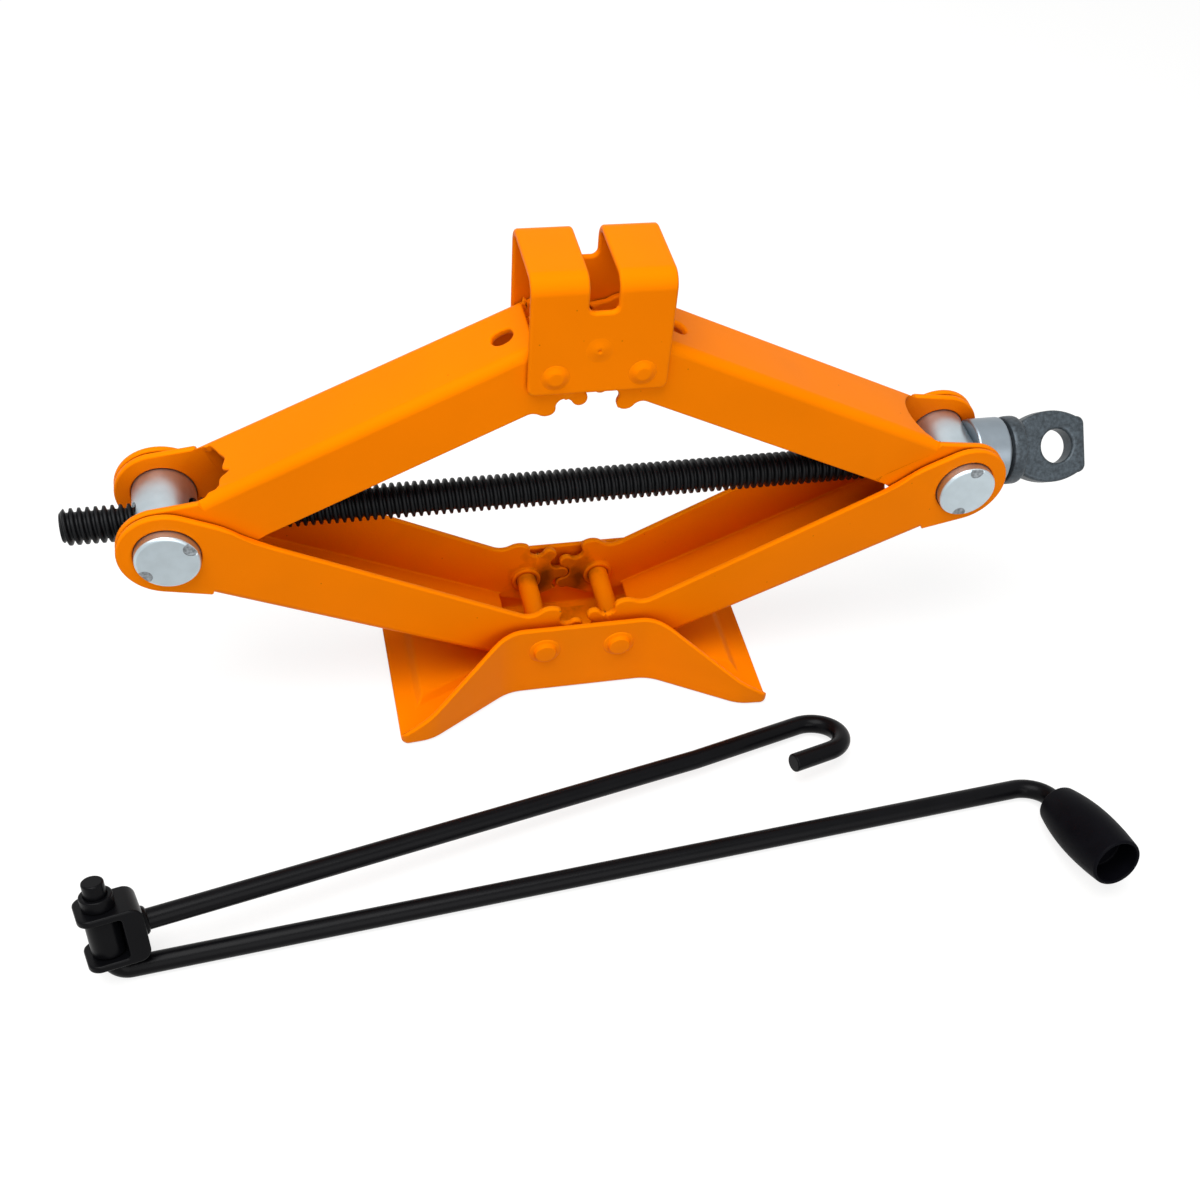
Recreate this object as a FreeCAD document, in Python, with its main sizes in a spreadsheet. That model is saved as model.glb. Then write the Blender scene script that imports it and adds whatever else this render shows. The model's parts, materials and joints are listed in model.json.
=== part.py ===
import FreeCAD, Part
import math
import os
import Sketcher

# Scissor jack, in millimetres, Z up. X runs along the screw, and the origin is under the middle of the base.

SIZES = {
    # Lifting frame
    "pivot_half": 16.2,
    "base_pivot_z": 25.0,
    "arm_length": 159.5,
    "rest_angle": 24.8,
    "sheet_wall": 2.8,
    "running_gap": 0.1,
    "pin_radius": 4.3,
    "pin_head_radius": 5.2,
    "pin_flat_radius": 3.2,
    "pin_head_height": 2.0,
    "collar_radius": 6.5,
    "collar_height": 1.5,
    "collar_clear": 1.0,
    # Teeth at the ends of the arms
    "tooth_radius": 3.06,
    "hollow_radius": 3.26,
    "tooth_last_angle": 120.0,
    "tooth_step_angle": 22.5,
    # Arms
    "ear_radius": 18.5,
    "ear_flat_end": 11.0,
    "edge_start": 33.0,
    "flare_end": 21.5,
    "flare_angle": -78.0,
    "heel_angle": -28.0,
    "heel_relief": 1.5,
    "lower_half_width": 21.0,
    "lower_web_depth": 14.3,
    "lower_edge_near": 15.3,
    "lower_edge_far": 10.9,
    "lower_horn_run": 12.5,
    "lower_web_start": 24.0,
    "lower_web_dip": 29.0,
    "lower_web_end": 152.0,
    "upper_half_width": 17.4,
    "upper_taper_angle": 0.6,
    "lower_taper_angle": 0.0,
    "upper_web_depth": 12.6,
    "upper_edge_near": 13.2,
    "upper_edge_far": 12.8,
    "upper_horn_run": 8.0,
    "upper_web_start": 24.0,
    "upper_web_dip": 31.5,
    "upper_web_end": 157.5,
    "taper_start": 13.0,
    "bend_radius": 4.0,
    "drain_along": 147.0,
    "drain_length": 8.0,
    "drain_width": 5.0,
    # Saddle
    "saddle_half_length": 26.2,
    "saddle_half_width": 19.0,
    "saddle_top": 39.5,
    "saddle_drop": 7.8,
    "saddle_bend": 6.5,
    "saddle_corner": 3.0,
    "slot_width": 10.5,
    "slot_depth": 13.7,
    "slot_corner": 2.5,
    # Base
    "base_half_length": 80.6,
    "base_wall": 2.5,
    "waist_half_length": 31.0,
    "waist_half_width": 26.6,
    "diagonal_end": 67.5,
    "diagonal_angle": 30.6,
    "waist_round": 20.0,
    "knee_round": 20.0,
    "tip_angle": 4.0,
    "foot_corner": 3.0,
    "flange_top": 37.2,
    "flange_flat": 25.0,
    "flange_shoulder_x": 42.0,
    "flange_shoulder_z": 31.2,
    "flange_end_z": 5.0,
    "panel_rise": 3.0,
    "panel_end": 72.0,
    "panel_end_half": 31.0,
    "panel_start": 33.0,
    "panel_start_half": 13.0,
    "panel_slope": 45.0,
    # Screw, cross pins and thrust bearing, measured from the thrust pin
    "screw_radius": 7.0,
    "screw_left": 359.8,
    "screw_right": 32.0,
    "screw_chamfer": 1.5,
    "cross_radius": 12.15,
    "cross_half": 25.0,
    "cross_chamfer": 0.8,
    "cup_start": 8.5,
    "cup_floor": 11.5,
    "cup_end": 23.5,
    "cup_radius": 14.4,
    "cup_bore": 12.2,
    "cup_seat_half": 14.6,
    "ball_radius": 2.4,
    "ball_ring": 9.6,
    "race_radius": 12.1,
    "race_end": 24.3,
    "flange_radius": 14.4,
    "flange_end": 31.5,
    "eye_neck_half": 9.5,
    "eye_side_radius": 26.0,
    "eye_end": 62.8,
    "eye_end_half": 12.0,
    "eye_end_corner": 3.5,
    "eye_thick": 9.0,
    "eye_hole_x": 49.5,
    "eye_hole_radius": 7.2,
    "eye_turn": -42.0,
    # Crank handle, lying on the floor in front
    "crank_x": -196.8,
    "crank_y": -142.0,
    "crank_yaw": 4.05,
    "crank_roll": -19.0,
    "rod_radius": 4.0,
    "pivot_length": 40.2,
    "pivot_bend": 6.0,
    "crank_length": 381.0,
    "crank_bend": 12.0,
    "throw_length": 48.0,
    "grip_start": 16.0,
    "grip_length": 44.5,
    "grip_neck_radius": 8.6,
    "grip_belly_radius": 11.6,
    "grip_end_radius": 10.3,
    "grip_belly_along": 25.0,
    "grip_hollow_radius": 9.0,
    "grip_hollow_depth": 12.0,
    "hook_height": 17.9,
    "hook_fold": 9.5,
    "hook_start": 13.5,
    "hook_first_leg": 227.0,
    "hook_kink_angle": 3.4,
    "hook_kink_radius": 80.0,
    "hook_second_leg": 49.3,
    "hook_bend": 12.0,
    "hook_return": 19.0,
    "clevis_gap_half": 8.6,
    "clevis_wall": 3.0,
    "clevis_web": 7.5,
    "clevis_half_width": 8.5,
    "clevis_reach": 13.5,
    "clevis_bend": 4.5,
    "clevis_end_flat": 4.0,
    "washer_radius": 5.9,
    "washer_height": 5.0,
}
BALL_COUNT = 11
TOOTH_ARCS = 6
BEYOND = 40.0
EXCESS = 1.0
CLOSE = 0.01

os.makedirs("parts", exist_ok=True)
doc = FreeCAD.newDocument("scissor_jack")


def fill_sheet():
    """Put every driving size in the spreadsheet, under its own alias."""
    sheet = doc.addObject("Spreadsheet::Sheet", "Sizes")
    for row, (alias, value) in enumerate(SIZES.items(), start=1):
        sheet.set(f"A{row}", alias)
        sheet.set(f"B{row}", str(value))
        sheet.setAlias(f"B{row}", alias)
    doc.recompute()


class Dim:
    """A number together with the spreadsheet expression that it stands for."""

    def __init__(self, value, text):
        self.value = value
        self.text = text

    def __add__(self, other):
        other = dim(other)
        return Dim(self.value + other.value, f"({self.text} + {other.text})")

    def __radd__(self, other):
        return dim(other) + self

    def __sub__(self, other):
        other = dim(other)
        return Dim(self.value - other.value, f"({self.text} - {other.text})")

    def __rsub__(self, other):
        return dim(other) - self

    def __mul__(self, other):
        other = dim(other)
        return Dim(self.value * other.value, f"({self.text} * {other.text})")

    def __rmul__(self, other):
        return dim(other) * self

    def __truediv__(self, other):
        other = dim(other)
        return Dim(self.value / other.value, f"({self.text} / {other.text})")

    def __neg__(self):
        return dim(0) - self


def dim(amount):
    """Turn a plain number into a Dim."""
    if isinstance(amount, Dim):
        return amount
    return Dim(float(amount), repr(float(amount)))


def size(alias):
    """The Dim of one cell of the spreadsheet."""
    return Dim(SIZES[alias], f"Sizes.{alias}")


def cosine(angle):
    return Dim(math.cos(math.radians(angle.value)), f"cos({angle.text})")


def sine(angle):
    return Dim(math.sin(math.radians(angle.value)), f"sin({angle.text})")


def tangent(angle):
    return Dim(math.tan(math.radians(angle.value)), f"tan({angle.text})")


def bind(thing, name, amount):
    """Bind one property to the spreadsheet."""
    thing.setExpression(name, dim(amount).text)


def frame(x=0, y=0, z=0, yaw=0, pitch=0, roll=0):
    """The expression of a placement."""
    base = "; ".join(dim(value).text for value in (x, y, z))
    turn = "; ".join(dim(value).text for value in (yaw, pitch, roll))
    return f"placement(vector({base}); rotation({turn}))"


def place(thing, *frames):
    """Bind a placement to one frame, or to a chain of them."""
    thing.setExpression("Placement", " * ".join(frames))


def new_body(label):
    body = doc.addObject("PartDesign::Body", label)
    body.Label = label
    return body


def new_sketch(body, name, role, lift=None):
    """Make a sketch on one of the body's own origin planes, lifted off it where asked."""
    sketch = body.newObject("Sketcher::SketchObject", name)
    plane = next(item for item in body.Origin.OriginFeatures if item.Role == role)
    sketch.AttachmentSupport = [(plane, "")]
    sketch.MapMode = "FlatFace"
    if lift is not None:
        bind(sketch, "AttachmentOffset.Base.z", lift)
    return sketch


def fix(sketch, kind, places, amount):
    """Add one dimension to a sketch and bind it."""
    amount = dim(amount)
    index = sketch.addConstraint(Sketcher.Constraint(kind, *places, amount.value))
    sketch.setExpression(f"Constraints[{index}]", amount.text)


def line(x, y):
    return {"x": dim(x), "y": dim(y), "radius": None}


def arc(x, y, radius, turn, major=False):
    """An arc to a point: turn is 1 for counterclockwise and -1 for clockwise."""
    return {"x": dim(x), "y": dim(y), "radius": dim(radius), "turn": turn, "major": major}


def arc_centre(first, last, step):
    """The centre of the arc between two points."""
    chord = last - first
    half = chord.Length / 2
    radius = step["radius"].value
    rise = math.sqrt(max(radius ** 2 - half ** 2, 0.0))
    left = FreeCAD.Vector(-chord.y, chord.x, 0).normalize()
    side = -step["turn"] if step["major"] else step["turn"]
    return first + chord / 2 + left * rise * side


def draw(sketch, steps, closed=True):
    """Draw lines and arcs from point to point; the first step only names the starting point."""
    joints = []
    start = steps[0]
    here = FreeCAD.Vector(start["x"].value, start["y"].value, 0)
    path = steps[1:]
    last = FreeCAD.Vector(path[-1]["x"].value, path[-1]["y"].value, 0)
    if closed and here.distanceToPoint(last) > CLOSE:
        path = path + [line(start["x"], start["y"])]
    for step in path:
        there = FreeCAD.Vector(step["x"].value, step["y"].value, 0)
        ids = (1, 2)
        if step["radius"] is None:
            index = sketch.addGeometry(Part.LineSegment(here, there), False)
        else:
            centre = arc_centre(here, there, step)
            ends = [here, there] if step["turn"] > 0 else [there, here]
            low, high = [math.atan2(end.y - centre.y, end.x - centre.x) for end in ends]
            if high < low:
                high += 2 * math.pi
            circle = Part.Circle(centre, FreeCAD.Vector(0, 0, 1), step["radius"].value)
            index = sketch.addGeometry(Part.ArcOfCircle(circle, low, high), False)
            ids = (1, 2) if step["turn"] > 0 else (2, 1)
            fix(sketch, "Radius", (index,), step["radius"])
        joints.append((index, *ids))
        fix(sketch, "DistanceX", (-1, 1, index, ids[1]), step["x"])
        fix(sketch, "DistanceY", (-1, 1, index, ids[1]), step["y"])
        here = there
    for before, after in zip(joints, joints[1:]):
        sketch.addConstraint(Sketcher.Constraint("Coincident", before[0], before[2], after[0], after[1]))
    if closed:
        first, last = joints[0], joints[-1]
        sketch.addConstraint(Sketcher.Constraint("Coincident", last[0], last[2], first[0], first[1]))
    else:
        fix(sketch, "DistanceX", (-1, 1, joints[0][0], joints[0][1]), start["x"])
        fix(sketch, "DistanceY", (-1, 1, joints[0][0], joints[0][1]), start["y"])


def draw_circle(sketch, x, y, radius):
    centre = FreeCAD.Vector(dim(x).value, dim(y).value, 0)
    circle = Part.Circle(centre, FreeCAD.Vector(0, 0, 1), dim(radius).value)
    index = sketch.addGeometry(circle, False)
    fix(sketch, "Radius", (index,), radius)
    fix(sketch, "DistanceX", (-1, 1, index, 3), x)
    fix(sketch, "DistanceY", (-1, 1, index, 3), y)


def pad(body, sketch, length, side="One side", backward=False, taper=None):
    feature = body.newObject("PartDesign::Pad", sketch.Name + "_pad")
    feature.Profile = sketch
    feature.SideType = side
    feature.Reversed = backward
    bind(feature, "Length", length)
    if taper is not None:
        bind(feature, "TaperAngle", taper)
    doc.recompute()
    return feature


def pocket(body, sketch, length=None, side="One side", backward=False, taper=None):
    """Cut a sketch out of the body, right through unless a depth is given, and check that it cuts."""
    before = body.Shape.Volume
    feature = body.newObject("PartDesign::Pocket", sketch.Name + "_cut")
    feature.Profile = sketch
    feature.SideType = side
    feature.Reversed = backward
    if length is None:
        feature.Type = "ThroughAll"
    else:
        bind(feature, "Length", length)
    if taper is not None:
        bind(feature, "TaperAngle", taper)
    doc.recompute()
    if not body.Shape.Volume < before:
        raise RuntimeError(f"{feature.Name} cuts nothing")
    return feature


def revolve(body, sketch, axis):
    feature = body.newObject("PartDesign::Revolution", sketch.Name + "_turned")
    feature.Profile = sketch
    feature.ReferenceAxis = (sketch, [axis])
    doc.recompute()
    return feature


def pipe(body, profile, spine):
    feature = body.newObject("PartDesign::AdditivePipe", spine.Name + "_pipe")
    feature.Profile = profile
    feature.Spine = (spine, [f"Edge{number + 1}" for number in range(spine.GeometryCount)])
    doc.recompute()
    return feature


def fillet(body, base, radius, wanted):
    """Round the edges of a feature that the test picks out."""
    names = []
    for number, edge in enumerate(base.Shape.Edges, start=1):
        if wanted(edge):
            names.append(f"Edge{number}")
    feature = body.newObject("PartDesign::Fillet", base.Name + "_round")
    feature.Base = (base, names)
    bind(feature, "Radius", radius)
    doc.recompute()
    return feature


def near(value, target):
    return abs(value - target) < CLOSE


# Places that follow from the driving sizes

ANGLE = size("rest_angle")
ARM = size("arm_length")
PIVOT = size("pivot_half")
GAP = size("running_gap")
WALL = size("sheet_wall")
CROSS_X = PIVOT + ARM * cosine(ANGLE)
CROSS_Z = size("base_pivot_z") + ARM * sine(ANGLE)
SADDLE_Z = size("base_pivot_z") + 2 * ARM * sine(ANGLE)
CRANK = frame(
    size("crank_x"), size("crank_y"), size("rod_radius"), size("crank_yaw"), 0, size("crank_roll")
)
HOOK = frame(0, 0, size("hook_height"), size("hook_fold"))


def tooth_steps(side, bump):
    """Arcs of the teeth, from the horn round to the end of the arm; bumps and hollows take turns."""
    steps = []
    first = 0 if bump else 1
    step_angle = size("tooth_step_angle")
    for number in range(TOOTH_ARCS + 1):
        here = size("tooth_last_angle") - step_angle * number
        share = size("tooth_radius") if bump else size("hollow_radius")
        share = share / (size("tooth_radius") + size("hollow_radius"))
        centre_x = ARM + PIVOT * cosine(here)
        centre_z = PIVOT * sine(here)
        before = here + step_angle
        other_x = ARM + PIVOT * cosine(before)
        other_z = PIVOT * sine(before)
        joint_x = centre_x + (other_x - centre_x) * share
        joint_z = side * (centre_z + (other_z - centre_z) * share)
        if number > first:
            # The arc that ends here is the one before, of the other kind
            # The horn leads into the first tooth at its top, so that arc is short
            radius = size("hollow_radius") if bump else size("tooth_radius")
            turn = side if bump else -side
            major = not bump and number > first + 1
            steps.append(arc(joint_x, joint_z, radius, turn, major=major))
        bump = not bump
    return steps


def horn_steps(side, kind, bump):
    """The edge of a flange sweeps up into a rounded horn, which is its first tooth."""
    first = size("tooth_last_angle")
    if not bump:
        first = first - size("tooth_step_angle")
    top_x = ARM + PIVOT * cosine(first)
    top_z = PIVOT * sine(first) + size("tooth_radius")
    low = size(kind + "_edge_far")
    run = size(kind + "_horn_run")
    rise = top_z - low
    sweep = (run * run + rise * rise) / (4 * rise)
    return [
        line(top_x - run, side * low),
        arc(top_x - run / 2, side * (low + top_z) / 2, sweep, side),
        arc(top_x, side * top_z, sweep, -side),
    ]


def arm_steps(side, kind, bump):
    """Side outline of an arm in its own frame: the cross pin at 0, the toothed end at the arm length."""
    depth = size(kind + "_web_depth")
    ear = size("ear_radius")
    edge_near = size(kind + "_edge_near")
    flat_end = size("ear_flat_end")
    edge_start = size("edge_start")
    run = edge_start - flat_end
    drop = ear - edge_near
    sweep = (run * run + drop * drop) / (4 * drop)
    flare_angle = size("flare_angle")
    steps = [
        line(size("flare_end"), -side * depth),
        line(ear * cosine(flare_angle), side * ear * sine(flare_angle)),
        arc(0, side * ear, ear, -side, major=True),
        line(flat_end, side * ear),
        arc((flat_end + edge_start) / 2, side * (ear + edge_near) / 2, sweep, -side),
        arc(edge_start, side * edge_near, sweep, side),
    ]
    steps += horn_steps(side, kind, bump)
    steps += tooth_steps(side, bump)
    heel_angle = size("heel_angle")
    heel = depth - size("heel_relief")
    steps += [
        line(ARM + heel * cosine(heel_angle), side * heel * sine(heel_angle)),
        arc(ARM, -side * heel, heel, -side),
        line(size(kind + "_web_end") + size("heel_relief"), -side * depth),
    ]
    return steps


def half_at(kind, along):
    """Outer half width of an arm at a distance along it; the upper arms taper toward the saddle."""
    taper = tangent(size(kind + "_taper_angle"))
    return size(kind + "_half_width") - taper * (along - size("taper_start"))


def arm_plan(kind, inset, far):
    """Half outline of an arm in plan, from the ears to past the toothed end."""
    half = size(kind + "_half_width") - inset
    return [line(-BEYOND, half), line(size("taper_start"), half), line(far, half_at(kind, far) - inset)]


def mirrored(steps):
    """The same outline on the other side of the X axis, in the other order."""
    return [line(step["x"], -step["y"]) for step in reversed(steps)]


def make_arm(label, kind, side, x, yaw):
    """One pressed channel: flanges with ears and teeth, a web, bores and collars."""
    body = new_body(label)
    half = size(kind + "_half_width")
    inner_end = half_at(kind, ARM) - WALL
    depth = size(kind + "_web_depth")
    far = ARM + BEYOND
    for name, bump, backward in (("front", kind == "upper", False), ("back", kind == "lower", True)):
        sketch = new_sketch(body, f"{label}_{name}", "XZ_Plane")
        draw(sketch, arm_steps(side, kind, bump))
        pad(body, sketch, half, backward=backward)
    if kind == "upper":
        for name, flip in (("trim_back", 1), ("trim_front", -1)):
            sketch = new_sketch(body, f"{label}_{name}", "XY_Plane")
            edge = [line(step["x"], flip * step["y"]) for step in arm_plan(kind, dim(0), far)[1:]]
            outside = [line(far, flip * BEYOND), line(size("taper_start"), flip * BEYOND)]
            draw(sketch, edge + outside)
            pocket(body, sketch, side="Symmetric")
    for flip in (-1, 1):
        round_bend(body, label, kind, side, flip)
    channel = new_sketch(body, f"{label}_channel", "XY_Plane", -side * (depth - WALL))
    plan = arm_plan(kind, WALL, far)
    draw(channel, plan + mirrored(plan))
    pocket(body, channel, backward=side > 0)
    notch = new_sketch(body, f"{label}_notch", "XY_Plane")
    start = size(kind + "_web_start")
    dip = size(kind + "_web_dip") - start
    notch_half = half - WALL
    sweep = (notch_half * notch_half + dip * dip) / (2 * dip)
    draw(notch, [
        line(-BEYOND, -notch_half),
        line(start, -notch_half),
        arc(start, notch_half, sweep, 1),
        line(-BEYOND, notch_half),
    ])
    pocket(body, notch, backward=side < 0)
    mouth = new_sketch(body, f"{label}_mouth", "XY_Plane")
    web_end = size(kind + "_web_end")
    mouth_plan = [line(along, half_at(kind, along) - WALL) for along in (web_end, far)]
    draw(mouth, mouth_plan + mirrored(mouth_plan))
    pocket(body, mouth, backward=side < 0)
    collars = new_sketch(body, f"{label}_collars", "XZ_Plane")
    draw_circle(collars, ARM, 0, size("collar_radius"))
    pad(body, collars, 2 * inner_end, side="Symmetric")
    gap_between = new_sketch(body, f"{label}_between", "XZ_Plane")
    draw_circle(gap_between, ARM, 0, size("collar_radius") + size("collar_clear"))
    pocket(body, gap_between, 2 * (inner_end - size("collar_height")), side="Symmetric")
    bores = new_sketch(body, f"{label}_bores", "XZ_Plane")
    draw_circle(bores, 0, 0, size("cross_radius") + GAP)
    draw_circle(bores, ARM, 0, size("pin_radius") + GAP)
    pocket(body, bores, side="Symmetric")
    if kind == "upper":
        add_drain(body, label)
    place(body, frame(x, 0, CROSS_Z, yaw, side * ANGLE))


def round_bend(body, label, kind, side, flip):
    """Round the outside of the bend between the web and one flange."""
    name = "back" if flip > 0 else "front"
    sketch = new_sketch(body, f"{label}_{name}_bend", "YZ_Plane")
    start = size("flare_end")
    taper = -flip * size(kind + "_taper_angle")
    offset = frame(flip * half_at(kind, start), 0, start, 0, taper, 0)
    sketch.setExpression("AttachmentOffset", offset)
    radius = size("bend_radius")
    depth = size(kind + "_web_depth")
    draw(sketch, [
        line(-flip * radius, -side * (depth + EXCESS)),
        line(flip * EXCESS, -side * (depth + EXCESS)),
        line(flip * EXCESS, -side * (depth - radius)),
        line(0, -side * (depth - radius)),
        arc(-flip * radius, -side * depth, radius, -side * flip),
    ])
    pocket(body, sketch, size(kind + "_web_end") - start + size("heel_relief"), backward=True)


def add_drain(body, label):
    """The oblong hole in the web of an upper arm."""
    sketch = new_sketch(body, f"{label}_drain", "XY_Plane")
    middle = size("drain_along")
    radius = size("drain_width") / 2
    reach = size("drain_length") / 2 - radius
    draw(sketch, [
        line(middle - reach, -radius),
        line(middle + reach, -radius),
        arc(middle + reach + radius, 0, radius, 1),
        arc(middle + reach, radius, radius, 1),
        line(middle - reach, radius),
        arc(middle - reach - radius, 0, radius, 1),
        arc(middle - reach, -radius, radius, 1),
    ])
    pocket(body, sketch, backward=True)


def make_pin(label, x, z, reach):
    """A riveted cross pin with a domed head on each side."""
    body = new_body(label)
    sketch = new_sketch(body, label + "_profile", "XY_Plane")
    head = size("pin_head_radius")
    flat = size("pin_flat_radius")
    top = reach + size("pin_head_height")
    radius = size("pin_radius")
    draw(sketch, [
        line(0, -top),
        line(flat, -top),
        arc(head, -reach, head, 1),
        line(radius, -reach),
        line(radius, reach),
        line(head, reach),
        arc(flat, top, head, 1),
        line(0, top),
    ])
    revolve(body, sketch, "V_Axis")
    place(body, frame(x, 0, z))


def make_saddle():
    """The pressed bracket that the load rests on."""
    body = new_body("saddle_bracket")
    profile = new_sketch(body, "saddle_profile", "YZ_Plane")
    half = size("saddle_half_width")
    inner = half - WALL
    top = size("saddle_top")
    low = -size("saddle_drop")
    bend = size("saddle_bend")
    inner_bend = bend - WALL
    draw(profile, [
        line(half, low),
        line(half, top - bend),
        arc(half - bend, top, bend, 1),
        line(bend - half, top),
        arc(-half, top - bend, bend, 1),
        line(-half, low),
        line(-inner, low),
        line(-inner, top - bend),
        arc(bend - half, top - WALL, inner_bend, -1),
        line(half - bend, top - WALL),
        arc(inner, top - bend, inner_bend, -1),
        line(inner, low),
    ])
    shell = pad(body, profile, 2 * size("saddle_half_length"), side="Symmetric")
    fillet(
        body, shell, size("saddle_corner"),
        lambda edge: near(edge.BoundBox.ZMax, low.value) and near(edge.BoundBox.XLength, 0),
    )
    slot = new_sketch(body, "saddle_slot", "XZ_Plane")
    wide = size("slot_width") / 2
    floor = top - size("slot_depth")
    corner = size("slot_corner")
    draw(slot, [
        line(-wide, top + BEYOND),
        line(-wide, floor + corner),
        arc(corner - wide, floor, corner, 1),
        line(wide - corner, floor),
        arc(wide, floor + corner, corner, 1),
        line(wide, top + BEYOND),
    ])
    pocket(body, slot, side="Symmetric")
    holes = new_sketch(body, "saddle_holes", "XZ_Plane")
    for place_x in (-PIVOT, PIVOT):
        draw_circle(holes, place_x, 0, size("pin_radius") + GAP / 2)
    pocket(body, holes, side="Symmetric")
    place(body, frame(0, 0, SADDLE_Z))


def base_plan(inset):
    """Corners of the base in plan: the waist, and the knee between the diagonal and the tip."""
    diagonal = size("diagonal_angle")
    tip = size("tip_angle")
    waist_x = size("waist_half_length") + inset * tangent(diagonal / 2)
    waist_y = size("waist_half_width") - inset
    outer_y = size("waist_half_width")
    outer_y += (size("diagonal_end") - size("waist_half_length")) * tangent(diagonal)
    turn = inset * tangent((diagonal - tip) / 2)
    knee_x = size("diagonal_end") + inset * sine(diagonal) - turn * cosine(diagonal)
    knee_y = outer_y - inset * cosine(diagonal) - turn * sine(diagonal)
    return waist_x, waist_y, knee_x, knee_y


def base_side(inset, flip):
    """One long side of the base in plan, with its corners rounded: flip is 1 in front and -1 behind."""
    diagonal = size("diagonal_angle")
    tip = size("tip_angle")
    waist_x, waist_y, knee_x, knee_y = base_plan(inset)
    waist_round = size("waist_round") + inset
    knee_round = size("knee_round") - inset
    waist_run = waist_round * tangent(diagonal / 2)
    knee_run = knee_round * tangent((diagonal - tip) / 2)
    corners = [
        (waist_x - waist_run, waist_y),
        (waist_x + waist_run * cosine(diagonal), waist_y + waist_run * sine(diagonal)),
        (knee_x - knee_run * cosine(diagonal), knee_y - knee_run * sine(diagonal)),
        (knee_x + knee_run * cosine(tip), knee_y + knee_run * sine(tip)),
    ]
    left = [(-flip * x, -flip * y) for x, y in reversed(corners)]
    right = [(flip * x, -flip * y) for x, y in corners]
    return [
        line(*left[0]),
        arc(*left[1], knee_round, 1),
        line(*left[2]),
        arc(*left[3], waist_round, -1),
        line(*right[0]),
        arc(*right[1], waist_round, -1),
        line(*right[2]),
        arc(*right[3], knee_round, 1),
    ]


def make_base():
    """The butterfly base: a pan with two flanges, open at the ends, with a raised panel in each foot."""
    body = new_body("base_plate")
    end = size("base_half_length")
    corner = size("foot_corner")
    slope = tangent(size("tip_angle"))
    knee_x, knee_y = base_plan(dim(0))[2:]
    tip_y = knee_y + (end - corner - knee_x) * slope
    plan = new_sketch(body, "base_outline", "XY_Plane")
    outline = []
    for flip in (1, -1):
        outline += base_side(dim(0), flip)
        outline += [
            line(flip * (end - corner), -flip * tip_y),
            arc(flip * end, flip * (corner - tip_y), corner, 1),
            line(flip * end, flip * (tip_y - corner)),
            arc(flip * (end - corner), flip * tip_y, corner, 1),
        ]
    draw(plan, outline)
    pad(body, plan, size("flange_top"))
    profile = new_sketch(body, "base_flange_edge", "XZ_Plane")
    flat = size("flange_flat")
    shoulder_x = size("flange_shoulder_x")
    shoulder_z = size("flange_shoulder_z")
    top = size("flange_top")
    run = shoulder_x - flat
    drop = top - shoulder_z
    sweep = (run * run + drop * drop) / (2 * drop)
    end_z = size("flange_end_z")
    draw(profile, [
        line(-end - BEYOND, end_z),
        line(-end, end_z),
        line(-shoulder_x, shoulder_z),
        arc(-flat, top, sweep, -1),
        line(flat, top),
        arc(shoulder_x, shoulder_z, sweep, -1),
        line(end, end_z),
        line(end + BEYOND, end_z),
        line(end + BEYOND, top + BEYOND),
        line(-end - BEYOND, top + BEYOND),
    ])
    pocket(body, profile, side="Symmetric")
    wall = size("base_wall")
    knee_x, knee_y = base_plan(wall)[2:]
    far_x = end + BEYOND
    far_y = knee_y + (far_x - knee_x) * slope
    pan = new_sketch(body, "base_pan", "XY_Plane", wall)
    inside = []
    for flip in (1, -1):
        inside += base_side(wall, flip)
        inside += [line(flip * far_x, -flip * far_y), line(flip * far_x, flip * far_y)]
    draw(pan, inside)
    pocket(body, pan, backward=True)
    rise = size("panel_rise")
    slope_angle = size("panel_slope")
    for name, flip in (("left", -1), ("right", 1)):
        for face, lift in (("top", wall), ("under", None)):
            sketch = new_sketch(body, f"base_panel_{name}_{face}", "XY_Plane", lift)
            draw(sketch, [
                line(flip * size("panel_start"), -size("panel_start_half")),
                line(flip * size("panel_end"), -size("panel_end_half")),
                line(flip * size("panel_end"), size("panel_end_half")),
                line(flip * size("panel_start"), size("panel_start_half")),
            ])
            if lift is None:
                pocket(body, sketch, rise, backward=True, taper=-slope_angle)
            else:
                pad(body, sketch, rise, taper=-slope_angle)
    bosses = new_sketch(body, "base_bosses", "XZ_Plane")
    between = new_sketch(body, "base_between", "XZ_Plane")
    for place_x in (-PIVOT, PIVOT):
        draw_circle(bosses, place_x, size("base_pivot_z"), size("collar_radius"))
        draw_circle(between, place_x, size("base_pivot_z"), size("collar_radius") + size("collar_clear"))
    pad(body, bosses, 2 * size("waist_half_width") - wall, side="Symmetric")
    pocket(body, between, 2 * (size("lower_half_width") + GAP), side="Symmetric")
    holes = new_sketch(body, "base_holes", "XZ_Plane")
    for place_x in (-PIVOT, PIVOT):
        draw_circle(holes, place_x, size("base_pivot_z"), size("pin_radius") + GAP / 2)
    pocket(body, holes, side="Symmetric")


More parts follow.
